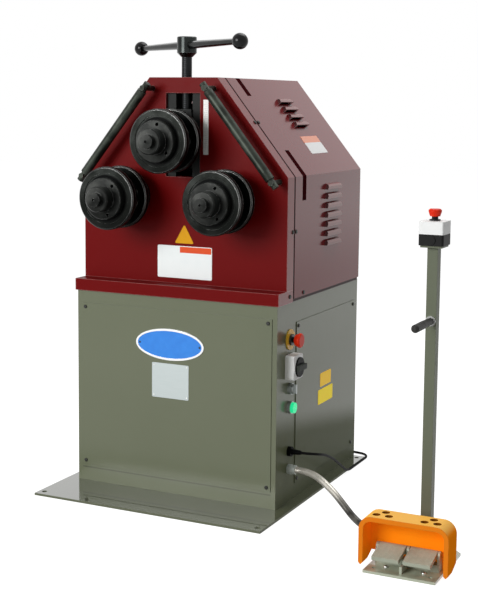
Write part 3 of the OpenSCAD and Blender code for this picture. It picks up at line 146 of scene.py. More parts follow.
# It winds inwards on the floor, climbs, and winds out again on top of itself.
for i in range(int(coil_count) + 1):
    inward = abs(i - coil_count / 2) / coil_rings
    radius = coil_inner + (inward - 0.25) * coil_step
    angle = math.radians(270 - i * 360 / coil_rings)
    climb = min(max((i - coil_count / 2 + coil_climb) / (2 * coil_climb), 0), 1)
    coil_points.append(coil_center + Vector((radius * math.cos(angle), radius * math.sin(angle),
                                             climb * coil_step)))
coil_way = (coil_points[-1] - coil_points[-2]).normalized()
coil_points.append(coil_points[-1] + coil_way * lead_d)
coil_points.append(coil_points[-1] + coil_way * coil_tail)
lead_path += smooth_path(coil_points, coil_steps)
mains_lead = tube("mains_lead", lead_path, [lead_d / 2] * len(lead_path), lead_sides)


class Shade:
    """One socket of a finish. Sums, products and the like add the nodes that work them out."""

    def __init__(self, socket):
        self.socket = socket

    def node(self, kind, settings, inputs, output=0):
        """Adds any node: its settings first, then the values or links of its sockets."""
        tree = self.socket.id_data
        node = tree.nodes.new("ShaderNode" + kind)
        for name, value in settings.items():
            setattr(node, name, value)
        for key, value in inputs.items():
            if isinstance(value, Shade):
                tree.links.new(value.socket, node.inputs[key])
            else:
                node.inputs[key].default_value = value
        return Shade(node.outputs[output])

    def math(self, operation, *others):
        return self.node("Math", {"operation": operation}, dict(enumerate((self, *others))))

    def __add__(self, other):
        return self.math("ADD", other)

    def __sub__(self, other):
        return self.math("SUBTRACT", other)

    def __rsub__(self, other):
        return self.node("Math", {"operation": "SUBTRACT"}, {0: other, 1: self})

    def __mul__(self, other):
        return self.math("MULTIPLY", other)

    def __truediv__(self, other):
        return self.math("DIVIDE", other)

    __radd__ = __add__
    __rmul__ = __mul__


def finish(name, recipe):
    """A material: recipe takes the place on the piece, in metres, and gives the shader's sockets."""
    material = bpy.data.materials.new(name)
    material.use_nodes = True
    tree = material.node_tree
    shader = tree.nodes["Principled BSDF"]
    place = tree.nodes.new("ShaderNodeTexCoord").outputs["Object"]
    for socket, value in recipe(Shade(place)).items():
        if isinstance(value, Shade):
            tree.links.new(value.socket, shader.inputs[socket])
        else:
            shader.inputs[socket].default_value = value
    return material


def rgb(red, green, blue):
    """A colour in the usual 0 to 255 steps, as the shader's linear light."""
    return (*(((c / 255 + 0.055) / 1.055) ** 2.4 if c > 10 else c / 255 / 12.92
              for c in (red, green, blue)), 1)


def noise(place, scale, detail=3):
    return place.node("TexNoise", {}, {"Vector": place, "Scale": scale, "Detail": detail})


def between(value, low, high):
    """0 below low, 1 above high and a smooth rise between them."""
    return value.node("MapRange", {"interpolation_type": "SMOOTHSTEP"},
                      {"Value": value, "From Min": low, "From Max": high})


def mix(share, first, second):
    return share.node("Mix", {"data_type": "RGBA"}, {0: share, 6: first, 7: second}, output=2)


def rounded(place, radius):
    """The surface's normal with its edges eased by a small radius."""
    return place.node("Bevel", {"samples": 4}, {"Radius": radius})


def bump(height, depth, normal):
    return height.node("Bump", {}, {"Height": height, "Distance": depth, "Normal": normal})


def rubber(place):
    grain = noise(place, 900)
    dust = between(noise(place, 24), 0.5, 0.8)
    return {"Base Color": mix(dust, rgb(9, 9, 9), rgb(24, 23, 22)), "Roughness": 0.45 + 0.25 * grain,
            "Specular IOR Level": 0.05, "Normal": bump(grain, 0.15 * mm, rounded(place, 0.4 * mm))}


mains_lead.data.materials.append(finish("black_rubber", rubber))
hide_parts("mains_cord", "mains_coil")

# Tie round the coil: a flat strap of black hook-and-loop tape, wrapped once round
# all the turns on the side away from the plug.
tie_w = 12 * mm
tie_t = 0.4 * mm
tie_corner = 3 * mm
tie_steps = 6


def ring_loop(width, height, corner, steps):
    """Points of a rectangle with round corners, centred on zero."""
    points = []
    for quarter, (x, y) in enumerate(((1, 1), (-1, 1), (-1, -1), (1, -1))):
        for step in range(steps + 1):
            a = math.pi / 2 * (quarter + step / steps)
            points.append(Vector((x * (width / 2 - corner) + corner * math.cos(a),
                                  y * (height / 2 - corner) + corner * math.sin(a))))
    return points


bundle_in = coil_inner - 0.25 * coil_step - lead_d / 2
bundle_out = coil_outer + 0.25 * coil_step + lead_d / 2
bundle_h = coil_step + lead_d
bundle_z = coil_center.z + coil_step / 2
strap = bmesh.new()
strap_rings = []
for grow, y in ((0, -1), (tie_t, -1), (tie_t, 1), (0, 1)):
    loop = ring_loop(bundle_out - bundle_in + 2 * grow, bundle_h + 2 * grow, tie_corner + grow, tie_steps)
    strap_rings.append([strap.verts.new((coil_center.x - (bundle_in + bundle_out) / 2 + p.x,
                                         coil_center.y + y * tie_w / 2, bundle_z + p.y)) for p in loop])
loft(strap, strap_rings + strap_rings[:1], ends=False)
lead_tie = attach(mesh_object("lead_tie", strap), "frame")


def woven(place):
    weave = place.node("TexWave", {"bands_direction": "DIAGONAL"}, {"Vector": place, "Scale": 700})
    return {"Base Color": mix(weave, rgb(14, 14, 15), rgb(34, 34, 36)), "Roughness": 0.9 - 0.1 * weave,
            "Normal": bump(weave, 0.1 * mm, rounded(place, 0.2 * mm))}


lead_tie.data.materials.append(finish("strap_fabric", woven))

# Conduit: a flexible steel hose in a grey plastic jacket, which shows the hose's close
# windings. It bows from the cabinet's fitting to the floor and into the pedal guard.
conduit_d = 18 * mm
conduit_length = 0.474
conduit_sides = 20
winding_pitch = 2.6 * mm
winding_depth = 0.3 * mm
conduit_shade_band = (42 * mm, 88 * mm)
conduit_route = [
    (322, -122, 94), (340, -123, 94), (360, -128.5, 94), (384, -140, 92), (410, -155, 86),
    (434, -168, 76.5), (456, -179, 65), (476, -188, 51), (496, -197, 36.5), (516, -207, 23.5),
    (538, -219, 14.5), (562, -234, 10.5), (588, -252.5, 10.5), (612, -273, 13), (632, -295, 17.5),
    (648, -319, 23.5), (659.6, -344, 31.2), (665.6, -363, 37.2), (668, -378, 40)]
conduit_path = smooth_path([Vector(p) * mm for p in conduit_route],
                           round(2 * conduit_length / winding_pitch / len(conduit_route)))
conduit_radii = [conduit_d / 2 - winding_depth * (i % 2) for i in range(len(conduit_path))]
conduit_hose = tube("conduit_hose", conduit_path, conduit_radii, conduit_sides)


def along(place, axis):
    """One coordinate of a place or a direction."""
    return place.node("SeparateXYZ", {}, {"Vector": place}, output=axis)


def jacket(place):
    """Bright where it hangs, and painted darker and less metallic towards the floor as painted shade."""
    smear = between(noise(place, 30), 0.4, 0.7)
    # Painted shade: the hose is painted darker and less metallic towards the floor.
    darker_low = (1 - between(along(place, "Z"), *conduit_shade_band)) * (0.85 + 0.15 * smear)
    return {"Base Color": mix(darker_low, rgb(204, 200, 190), rgb(34, 34, 31)),
            "Roughness": 0.26 + 0.15 * smear, "Specular IOR Level": 0.15,
            "Metallic": (0.55 + 0.1 * smear) * (1 - 0.75 * darker_low),
            "Normal": bump(noise(place, 500), 0.1 * mm, rounded(place, 0.4 * mm))}


conduit_hose.data.materials.append(finish("conduit_jacket", jacket))
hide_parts("conduit")

# Floor plate: flame-cut steel plate under the cabinet, drilled for anchor bolts and
# painted in the cabinet's colour. Shoes and dirt leave it darker and scuffed.
floor_colour = rgb(83, 88, 64)
floor_scuff = rgb(108, 109, 94)


def dress(material, *names):
    """Gives CAD nodes their finish."""
    for name in names:
        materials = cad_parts[name].data.materials
        materials.clear()
        materials.append(material)


def dot(first, second):
    return first.node("VectorMath", {"operation": "DOT_PRODUCT"}, {0: first, 1: second}, output=1)


def surface(place):
    """The direction in which the surface faces, before its edges are eased."""
    return place.node("NewGeometry", {}, {}, output="Normal")


def edges(place, normal):
    """0 on flat and gently curved faces, 1 along the eased edges."""
    return between(1 - dot(normal, surface(place)), 0.02, 0.2)


def streaks(place, stretch, detail):
    """Noise drawn out into lines: it is packed closest along the axis with the largest number."""
    return noise(place.node("VectorMath", {"operation": "MULTIPLY"}, {0: place, 1: stretch}), 1, detail)


def painted(place, colour, worn, roughness=0.4, peel=0.12 * mm, edge=1.2 * mm, wear=0.35):
    """Sprayed paint: a fine orange peel, faint cloudiness, and edges rubbed a little paler."""
    normal = rounded(place, edge)
    cloud = noise(place, 5)
    rub = between(noise(place, 45, 5), 0.52, 0.75)
    peeled = noise(place, 420, 2)
    share = 0.18 * cloud + wear * edges(place, normal) * (0.4 + 0.6 * rub)
    return {"Base Color": mix(share, colour, worn), "Roughness": roughness + 0.1 * cloud * rub,
            "Normal": bump(peeled, peel, normal)}


def trodden_paint(place):
    """Its top is smooth enough to mirror what stands on it, apart from the scuffs; the cut edges are dull."""
    sockets = painted(place, floor_colour, floor_scuff, peel=0.02 * mm)
    scuffs = between(streaks(place, (27, 480, 3), 4), 0.6, 0.75) * between(noise(place, 12), 0.5, 0.7)
    topside = between(along(surface(place), "Z"), 0.5, 0.8)
    return sockets | {
        "Base Color": mix(0.5 * scuffs, sockets["Base Color"], floor_scuff),
        "Roughness": 0.56 - 0.5 * topside + 0.2 * scuffs + 0.04 * noise(place, 18),
        "Coat Weight": topside * (1 - 0.3 * scuffs), "Coat Roughness": 0.04, "Coat IOR": 1.95}


dress(finish("floor_plate_paint", trodden_paint), "floor_plate")

# Cabinet: a shell of folded steel sheet, welded to the floor plate, with a screwed front
# panel and side panel. All of it has the same olive-grey paint with a fine texture.
cabinet_colour = rgb(95, 101, 76)
cabinet_worn = rgb(122, 128, 104)
side_dust = (165 * mm, 240 * mm)
side_clean = (330 * mm, 520 * mm)
front_dust = (25 * mm, 125 * mm)
front_haze = (300 * mm, 520 * mm)
panel_low, panel_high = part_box("access_panels")


def sideways(place):
    """1 on faces turned to the machine's left or right, 0 on its front, back and top."""
    return between(along(surface(place), "X").math("ABSOLUTE"), 0.35, 0.55)


def cabinet_paint(place):
    """A soft gloss, which dust takes away low down, and a painted shadow line just below the front panel."""
    sockets = painted(place, cabinet_colour, cabinet_worn)
    height = along(place, "Z")
    side = sideways(place)
    drift = 12 * mm * noise(place, 9, 4)
    clean = between(height + 0.16 * along(place, "Y") + drift, *side_dust)
    side_gloss = 0.06 + 0.66 * clean + 0.14 * between(height, *side_clean)
    front_gloss = 0.45 + 0.55 * between(height + drift, *front_dust) - 0.15 * between(height, *front_haze)
    # Painted shadow: a dark line on the shell just below the front panel's lower edge, across its width.
    low = panel_low.z
    panel_shadow_line = between(height, low - 4 * mm, low - 3 * mm) * (1 - between(height, low, low + 0.5 * mm))
    within = 1 - between(along(place, "X").math("ABSOLUTE"), -panel_low.x, 1 * mm - panel_low.x)
    darkening = 0.5 * panel_shadow_line * within * (1 - side)
    return sockets | {
        "Base Color": mix(darkening, sockets["Base Color"], rgb(44, 46, 36)), "Specular IOR Level": 0.03,
        "Coat Weight": side * side_gloss + (1 - side) * front_gloss, "Coat Roughness": 0.22}


dress(finish("cabinet_paint", cabinet_paint), "cabinet_shell", "access_panels")

# Panel screws: small dome-headed steel screws, blackened, that hold the panels'
# corners to the shell and the cover to the front plate.
def blackened(place):
    normal = rounded(place, 0.5 * mm)
    rub = edges(place, normal) * between(noise(place, 120), 0.35, 0.65)
    return {"Base Color": mix(rub, rgb(46, 47, 44), rgb(120, 118, 112)), "Metallic": 0.6,
            "Roughness": 0.4 + 0.2 * noise(place, 300), "Normal": normal}


blackened_steel = finish("blackened_screws", blackened)
dress(blackened_steel, "panel_screws", "cover_screws")

# Oval badge: a pressed aluminium plate with a bare blue enamel field inside a bright rim,
# riveted at both ends to the front panel.
badge_at = Vector((-11.5 * mm, panel_low.y, 411.5 * mm))
badge_w = 205 * mm
badge_h = 85 * mm
badge_rim = 6 * mm
badge_t = 2.2 * mm
badge_sink = 0.7 * mm
badge_rivet_d = 6 * mm
badge_rivet_h = 1.4 * mm
oval_steps = 72
dome_sides = 24
dome_steps = 6
dome_rim = 0.2


def oval(width, height):
    angles = [math.tau * k / oval_steps for k in range(oval_steps)]
    return [Vector((width / 2 * math.cos(a), height / 2 * math.sin(a))) for a in angles]


def stacked(name, levels, at, across, up):
    """A plate built up from outlines: each level is an outline and its height off the face."""
    mesh = bmesh.new()
    out = across.cross(up)
    rings = [[mesh.verts.new(at + p.x * across + p.y * up + height * out) for p in outline]
             for outline, height in levels]
    loft(mesh, rings)
    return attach(mesh_object(name, mesh), "frame")


x_axis = Vector((1, 0, 0))
y_axis = Vector((0, 1, 0))
z_axis = Vector((0, 0, 1))
rim_ease = 0.6 * mm
badge_steps = ((0, 0), (0, badge_t - rim_ease), (rim_ease, badge_t), (badge_rim - rim_ease / 2, badge_t),
               (badge_rim + rim_ease / 2, badge_t - badge_sink))
badge_levels = [(oval(badge_w - 2 * inset, badge_h - 2 * inset), height) for inset, height in badge_steps]
badge = stacked("oval_badge", badge_levels, badge_at, x_axis, z_axis)


def enamel(place):
    """Blue inside the rim and bright metal on it, told apart by the distance from the middle."""
    x = (along(place, "X") - badge_at.x) / (badge_w / 2 - badge_rim)
    z = (along(place, "Z") - badge_at.z) / (badge_h / 2 - badge_rim)
    field = 1 - between(x * x + z * z, 0.985, 1.015)
    cloud = noise(place, 60)
    blue = mix(cloud, rgb(24, 124, 226), rgb(44, 144, 240))
    return {"Base Color": mix(field, rgb(240, 241, 242), blue), "Metallic": 0.4 * (1 - field),
            "Roughness": 0.2 + 0.1 * cloud,
            "Normal": bump(noise(place, 350), 0.05 * mm, rounded(place, 0.5 * mm))}


badge.data.materials.append(finish("badge_enamel", enamel))


def dome(name, at, out, diameter, rise):
    """A turned dome head: a short rim with a crowned top, standing on a face."""
    side = out.orthogonal().normalized()
    across = out.cross(side)
    radius = diameter / 2
    profile = [(radius, 0), (radius, dome_rim * rise)]
    for k in range(1, dome_steps):
        lift = math.pi / 2 * k / dome_steps
        profile.append((radius * math.cos(lift), rise * (dome_rim + (1 - dome_rim) * math.sin(lift))))
    mesh = bmesh.new()
    loft(mesh, [circle(mesh, at + height * out, side, across, reach, dome_sides)
                for reach, height in profile], smooth=True)
    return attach(mesh_object(name, mesh), "frame")


for side, x in (("left", -1), ("right", 1)):
    at = badge_at + Vector((x * (badge_w / 2 - 2 * badge_rim), badge_sink - badge_t, 0))
    rivet = dome(f"badge_rivet_{side}", at, -y_axis, badge_rivet_d, badge_rivet_h)
    rivet.data.materials.append(blackened_steel)

# Data plate: a thin, bare square of brushed aluminium, fixed under the badge with a
# small drive rivet at each corner.
data_at = Vector((-9.5 * mm, panel_low.y, 313 * mm))
data_w = 111 * mm
data_h = 94 * mm
data_corner = 3 * mm
data_rivet_in = 6 * mm
data_rivet_d = 4 * mm
data_rivet_h = 1 * mm
sheet_t = 0.8 * mm
sheet_ease = 0.3 * mm
corner_steps = 5


def plate(name, at, width, height, corner, thickness=sheet_t, ease=sheet_ease, across=x_axis, up=z_axis):
    """A flat plate with round corners and an eased upper edge."""
    outer = ring_loop(width, height, corner, corner_steps)
    inner = ring_loop(width - 2 * ease, height - 2 * ease, corner, corner_steps)
    return stacked(name, [(outer, 0), (outer, thickness - ease), (inner, thickness)], at, across, up)


data_plate = plate("data_plate", data_at, data_w, data_h, data_corner)


def brushed(place):
    lines = streaks(place, (20, 20, 1600), 4)
    return {"Base Color": mix(lines, rgb(164, 174, 174), rgb(188, 195, 194)), "Metallic": 0.55,
            "Roughness": 0.34 + 0.18 * lines, "Normal": bump(lines, 0.04 * mm, rounded(place, 0.3 * mm))}


data_plate.data.materials.append(finish("brushed_aluminium", brushed))


def bright_metal(place):
    speck = noise(place, 260, 4)
    return {"Base Color": mix(speck, rgb(188, 188, 184), rgb(222, 222, 218)), "Metallic": 1.0,
            "Roughness": 0.24 + 0.16 * speck, "Normal": rounded(place, 0.4 * mm)}


bright_zinc = finish("bright_zinc", bright_metal)
for i, (x, z) in enumerate(((-1, -1), (1, -1), (-1, 1), (1, 1))):
    at = data_at + Vector((x * (data_w / 2 - data_rivet_in), -sheet_t, z * (data_h / 2 - data_rivet_in)))
    rivet = dome(f"data_rivet_{i + 1}", at, -y_axis, data_rivet_d, data_rivet_h)
    rivet.data.materials.append(bright_zinc)

# Side plates: two bare plates of yellow plastic sheet glued to the side panel, the
# upper one a little deeper in colour.
sheet_corner = 4 * mm
# Painted light: the side plates glow a little, though they are no lamps.
painted_plate_glow = 0.3


def sheet_plastic(deep, pale, glow=0.0):
    """Coloured sheet. Where a glow is given it is painted light: the sheet gives back more light than falls
    on it.
    """
    def recipe(place):
        cloud = noise(place, 40)
        colour = mix(cloud, deep, pale)
        return {"Base Color": colour, "Roughness": 0.4 + 0.15 * cloud, "Specular IOR Level": 0.15,
                "Emission Color": colour, "Emission Strength": glow,
                "Normal": bump(noise(place, 600), 0.04 * mm, rounded(place, 0.4 * mm))}
    return recipe


def side_plate(name, y, z, colours):
    """A plate between two places along the side and two heights, in millimetres."""
    middle = Vector((panel_high.x, (y[0] + y[1]) / 2 * mm, (z[0] + z[1]) / 2 * mm))
    piece = plate(name, middle, (y[1] - y[0]) * mm, (z[1] - z[0]) * mm, sheet_corner, across=y_axis)
    piece.data.materials.append(finish(name, sheet_plastic(*colours, glow=painted_plate_glow)))


side_plate("side_plate_upper", (85, 163), (271, 309), (rgb(236, 188, 48), rgb(246, 204, 68)))
side_plate("side_plate_lower", (72, 177), (223, 264), (rgb(244, 214, 44), rgb(250, 226, 66)))

# Head: a heavy base flange and a gabled front plate of thick steel, ground flat and
# finished in deep red gloss. The rails in the plate's window guide the carriage.
head_colour = rgb(106, 6, 7)
head_worn = rgb(126, 18, 20)
seam_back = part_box("rear_cover")[0].y
seam_front = seam_back - 6 * mm


def gloss_red(place):
    """The flat front is rubbed down to a soft sheen and the side faces keep their gloss, painted a lighter
    red as a painted sheen; the eased edges carry a painted highlight and the seam a painted shade.
    """
    sockets = painted(place, head_colour, head_worn, 0.36, peel=0.1 * mm, edge=1.5 * mm)
    # Painted shade: a dark line along the seam with the rear cover.
    seam = between(along(place, "Y"), seam_front - 0.5 * mm, seam_front + 0.5 * mm)
    # Painted sheen: faces turned to the left or right are painted a lighter red.
    side = sideways(place)
    # Painted highlight: the eased edges are painted a pale pink.
    painted_highlight = edges(place, rounded(place, 3 * mm))
    red = mix(0.5 * side, sockets["Base Color"], rgb(140, 34, 36))
    red = mix(0.55 * painted_highlight, red, rgb(206, 150, 146))
    return sockets | {
        "Base Color": mix(0.9 * seam, red, rgb(22, 6, 6)), "Specular IOR Level": 0.065,
        "Coat Weight": 0.72 * side * (1 - seam), "Coat Roughness": 0.2}


dress(finish("head_red_gloss", gloss_red), "head_base", "front_plate")


def oiled_steel(place):
    normal = rounded(place, 0.6 * mm)
    lines = streaks(place, (400, 400, 12), 4)
    rub = edges(place, normal) * between(noise(place, 90), 0.35, 0.7)
    return {"Base Color": mix(rub, mix(lines, rgb(20, 21, 20), rgb(34, 35, 34)), rgb(110, 112, 108)),
            "Metallic": 0.6, "Specular IOR Level": 0.2, "Roughness": 0.4 + 0.18 * lines,
            "Normal": bump(lines, 0.06 * mm, normal)}


dress(finish("oiled_steel", oiled_steel), "guide_rails", "carriage_gibs", "carriage", "screw_keeper")

# White plate, yellow triangle and scale: bare plastic plates glued to the front plate.
# The scale beside the window has plain division lines for the carriage's height.
plate_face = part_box("front_plate")[0].y
white_at = Vector((7 * mm, plate_face, 627.5 * mm))
white_w = 164 * mm
white_h = 87 * mm
white_plate = plate("white_plate", white_at, white_w, white_h, sheet_corner)
white_sheet = sheet_plastic(rgb(244, 250, 249), rgb(250, 254, 253))
white_plate.data.materials.append(finish("white_plate", white_sheet))

header_at = white_at + Vector((33 * mm, -sheet_t, 33.5 * mm))
header_w = 94 * mm
header_h = 16 * mm
header_corner = 1 * mm
header_t = 0.3 * mm
header_ease = 0.1 * mm
header = plate("white_plate_header", header_at, header_w, header_h, header_corner, header_t, header_ease)
header.data.materials.append(finish("header_orange", sheet_plastic(rgb(226, 78, 34), rgb(236, 96, 48))))

triangle_at = Vector((6 * mm, plate_face, 678 * mm))
triangle_w = 58 * mm
triangle_h = 51 * mm
triangle_corner = 3 * mm
triangle_t = 0.6 * mm


def triangle(width, height, corner):
    """A rounded triangle standing on its base, its outline turned round each corner."""
    corners = [Vector((-width / 2, 0)), Vector((width / 2, 0)), Vector((0, height))]
    middle = Vector((0, height / 3))
    lean = math.atan2(height, width / 2)
    starts = (math.pi / 2 + lean, -math.pi / 2, math.pi / 2 - lean)
    sweeps = (math.pi - lean, math.pi - lean, 2 * lean)
    points = []
    for tip, start, sweep in zip(corners, starts, sweeps):
        hub = tip + (middle - tip).normalized() * 2 * corner
        for k in range(corner_steps + 1):
            angle = start + sweep * k / corner_steps
            points.append(hub + corner * Vector((math.cos(angle), math.sin(angle))))
    return points


outline = triangle(triangle_w, triangle_h, triangle_corner)
triangle_plate = stacked("triangle_plate", [(outline, 0), (outline, triangle_t)], triangle_at, x_axis, z_axis)
yellow_sheet = sheet_plastic(rgb(222, 154, 4), rgb(232, 172, 14))
triangle_plate.data.materials.append(finish("triangle_yellow", yellow_sheet))

scale_low = 915 * mm
scale_high = 1058 * mm
scale_w = 15 * mm
scale_t = 1 * mm
scale_corner = 1 * mm
scale_division = 5 * mm
mark_edge = (0.25 * mm, 0.45 * mm)
scale_at = Vector((68.5 * mm, plate_face, (scale_low + scale_high) / 2))
scale_strip = plate("scale_strip", scale_at, scale_w, scale_high - scale_low, scale_corner, scale_t)


def divided(place):
    """White strip with a thin dark line at each division, longer at every second one."""
    z = along(place, "Z") - scale_low
    inside = between(along(place, "X"), scale_at.x - 2 * mm, scale_at.x - 1.6 * mm)
    fine = 1 - between(z.math("PINGPONG", scale_division / 2), *mark_edge)
    coarse = 1 - between(z.math("PINGPONG", scale_division), *mark_edge)
    marks = fine * inside + coarse * (1 - inside)
    return {"Base Color": mix(0.45 * marks, rgb(254, 253, 249), rgb(60, 60, 60)),
            "Roughness": 0.35 + 0.2 * noise(place, 80), "Normal": rounded(place, 0.3 * mm)}


scale_strip.data.materials.append(finish("scale_white", divided))

# Drive inside the cover: ground steel plates, bearings and hobbed gears, a bronze nut
# for the screw, a cast gearbox and a finned motor, all oiled and only seen when opened.
def ground_steel(place):
    normal = rounded(place, 0.5 * mm)
    lines = streaks(place, (30, 900, 30), 3)
    oil = between(noise(place, 14, 4), 0.45, 0.7)
    return {"Base Color": mix(oil, rgb(158, 158, 155), rgb(112, 108, 98)), "Metallic": 1.0,
            "Roughness": 0.42 - 0.2 * oil + 0.1 * lines, "Normal": bump(lines, 0.05 * mm, normal)}


ground_finish = finish("ground_steel", ground_steel)
dress(ground_finish, "rear_bearing_plate", "tie_bars", "lower_bearings", "carriage_bearings", "left_gear",
      "right_gear", "drive_pinion")


def turned_bronze(place):
    stain = between(noise(place, 30, 4), 0.4, 0.7)
    return {"Base Color": mix(stain, rgb(186, 140, 78), rgb(120, 88, 50)), "Metallic": 1.0,
            "Roughness": 0.3 + 0.2 * stain, "Normal": rounded(place, 0.5 * mm)}


dress(finish("turned_bronze", turned_bronze), "lead_nut")


def cast_paint(place):
    sockets = painted(place, rgb(70, 78, 84), rgb(104, 110, 112), 0.42, edge=2 * mm)
    return sockets | {"Normal": bump(noise(place, 160, 4), 0.5 * mm, rounded(place, 2 * mm))}


dress(finish("cast_paint", cast_paint), "gearbox", "drive_motor")

# Rolls: three sets of hardened discs on a grooved core, each held by a clamping cap and
# a shaft nut. They are turned and black oxided, and the rims are rubbed bright by work in
# places. Their faces and sides carry painted light and shade, and the rims a painted highlight.
core_r = 60 * mm
turned_step = 1.1 * mm


def oxide(axis, dark, pale, painted_flank_tone, core=0.0, rim=1.0):
    """Black oxide on turned steel, the rims' edges worn bright in places. Painted light and shade: faces
    lighter above and darker towards the lower right, other surfaces in their own painted tone, and a painted
    highlight on the rims.
    """
    def recipe(place):
        x = along(place, "X") - axis.x
        z = along(place, "Z") - axis.z
        reach = (x * x + z * z).math("SQRT")
        round_axis = place.node("CombineXYZ", {}, {"X": reach, "Y": along(place, "Y")})
        rings = noise(round_axis, 1 / turned_step, 2)
        faced = between(0 - along(surface(place), "Y"), 0.5, 0.8)
        normal = rounded(place, 0.9 * mm)
        cloud = between(noise(place, 26, 4), 0.35, 0.75)
        rub = 0.5 * edges(place, normal) * between(noise(place, 60), 0.4, 0.65)
        # Painted highlight: the rims' eased edges are painted bright, most of all towards the upper right.
        highlight_arc = 0.08 + 0.92 * between((0.7 * x + 0.7 * z) / reach, 0.2, 0.9)
        bright = edges(place, rounded(place, 4.2 * mm)) * between(reach, rim - 6 * mm, rim - 4 * mm) * highlight_arc
        # Painted light and shade: only the front faces outside the core keep the face colours; the running
        # surfaces, sides and the hollow between the discs take their own painted tone.
        lit_face_mask = faced * between(reach, core, core + 3 * mm)
        # Painted light and shade: the colour is lighter towards the top and darker towards the lower right.
        upper = between((z - 0.6 * x) / reach, -1.0, 0.9)
        black = mix(lit_face_mask, painted_flank_tone, mix(cloud, dark, pale))
        black = mix(0.3 + 0.7 * upper, rgb(10, 11, 10), black)
        # Bare steel shows where the edges are worn and where the painted highlight lies.
        bare = rub.math("MAXIMUM", bright)
        return {"Base Color": mix(bare, black, rgb(224, 225, 222)), "Specular IOR Level": 0.03,
                "Metallic": 0.1 + 0.7 * lit_face_mask.math("MAXIMUM", bare),
                "Roughness": 0.24 + 0.1 * rings + 0.08 * cloud, "Normal": bump(rings, 0.08 * mm, normal)}
    return recipe


# The last colour given to each oxide is the painted tone of its surfaces that don't face the front.
for side in ("top", "left", "right"):
    low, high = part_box(f"{side}_roll")
    axis = (low + high) / 2
    roll_r = (high.z - low.z) / 2
    roll_black = oxide(axis, rgb(23, 25, 23), rgb(41, 43, 41), rgb(7, 8, 8), core_r, roll_r)
    nut_black = oxide(axis, rgb(34, 35, 34), rgb(60, 61, 59), rgb(48, 50, 48))
    dress(finish(f"{side}_roll_oxide", roll_black), f"{side}_roll")
    dress(finish(f"{side}_nut_oxide", nut_black), f"{side}_roll_nut", f"{side}_shaft")
low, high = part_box("bearing_caps")
cap_black = oxide((low + high) / 2, rgb(24, 25, 24), rgb(38, 39, 38), rgb(20, 21, 20))
dress(finish("bearing_cap_oxide", cap_black), "bearing_caps")

# Adjusting screw and handle: a turned steel screw with a hub, a polished cross bar
# through it and a pair of black ball knobs screwed on the bar's ends.
screw_pitch = 5 * mm
screw_low, screw_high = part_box("adjusting_screw")
screw_axis = (screw_low + screw_high) / 2


def threads(way, pitch):
    """0 in the grooves and 1 on the crests of a thread, along the way that it climbs."""
    return way.math("PINGPONG", pitch / 2) / (pitch / 2)


def screw_steel(place):
    """Dark turned steel, with the screw's thread wound round it."""
    angle = (along(place, "Y") - screw_axis.y).math("ARCTAN2", along(place, "X") - screw_axis.x)
    thread = threads(along(place, "Z") - angle * (screw_pitch / math.tau), screw_pitch)
    cloud = noise(place, 40, 4)
    return {"Base Color": mix(cloud, rgb(24, 25, 26), rgb(36, 37, 38)), "Metallic": 0.9,
            "Roughness": 0.28 + 0.15 * cloud, "Normal": bump(thread, 0.3 * mm, rounded(place, 0.5 * mm))}


dress(finish("screw_steel", screw_steel), "adjusting_screw")


def polished_steel(dark, pale, painted_highlight):
    """Dark steel with fine lines and edges worn paler; a band along its upper side is a painted highlight."""
    def recipe(place):
        normal = rounded(place, 1.2 * mm)
        lines = streaks(place, (120, 120, 700), 3)
        cloud = between(noise(place, 22, 4), 0.3, 0.75)
        upward = along(surface(place), "Z")
        # Painted highlight: a bright band along the side that faces upwards.
        band = painted_highlight * between(upward, 0.6, 0.7) * (1 - between(upward, 0.74, 0.84)) * (0.5 + 0.5 * cloud)
        # This mask joins the painted highlight and the edges worn paler.
        worn = band.math("MAXIMUM", 0.5 * edges(place, normal))
        return {"Base Color": mix(worn, mix(cloud, dark, pale), rgb(206, 208, 206)), "Metallic": 0.95,
                "Roughness": 0.12 + 0.12 * lines, "Normal": bump(lines, 0.03 * mm, normal)}
    return recipe


dress(finish("hub_steel", polished_steel(rgb(40, 43, 42), rgb(58, 62, 60), 0.0)), "handle_hub")
dress(finish("bar_polish", polished_steel(rgb(15, 17, 16), rgb(28, 30, 29), 0.9)), "handle_bar")


def moulded_gloss(place):
    smudge = between(noise(place, 50, 4), 0.4, 0.75)
    return {"Base Color": mix(smudge, rgb(6, 6, 7), rgb(14, 14, 15)), "Roughness": 0.1 + 0.14 * smudge,
            "Specular IOR Level": 0.2, "Normal": bump(noise(place, 90), 0.05 * mm, rounded(place, 0.4 * mm))}


dress(finish("black_gloss", moulded_gloss), "ball_knobs")

# Rear cover: one skin of thin sheet, folded over the drive, with pressed louvers and
# slots on both sides. It is screwed to the front plate and sprayed red to match it.
cover_colour = rgb(122, 26, 31)
shoulder = Vector((305 * mm, 0, 863 * mm))
ridge = Vector((101 * mm, 0, 1116 * mm))
down_slope = (shoulder - ridge).normalized()
slope_out = Vector((-down_slope.z, 0, down_slope.x))
cover_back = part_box("rear_cover")[1].y
cover_dust = (540 * mm, 800 * mm)


def folded_over(place):
    """The place mirrored to the machine's right, for what is the same on both sides."""
    return place.node("VectorMath", {"operation": "ABSOLUTE"}, {0: place})


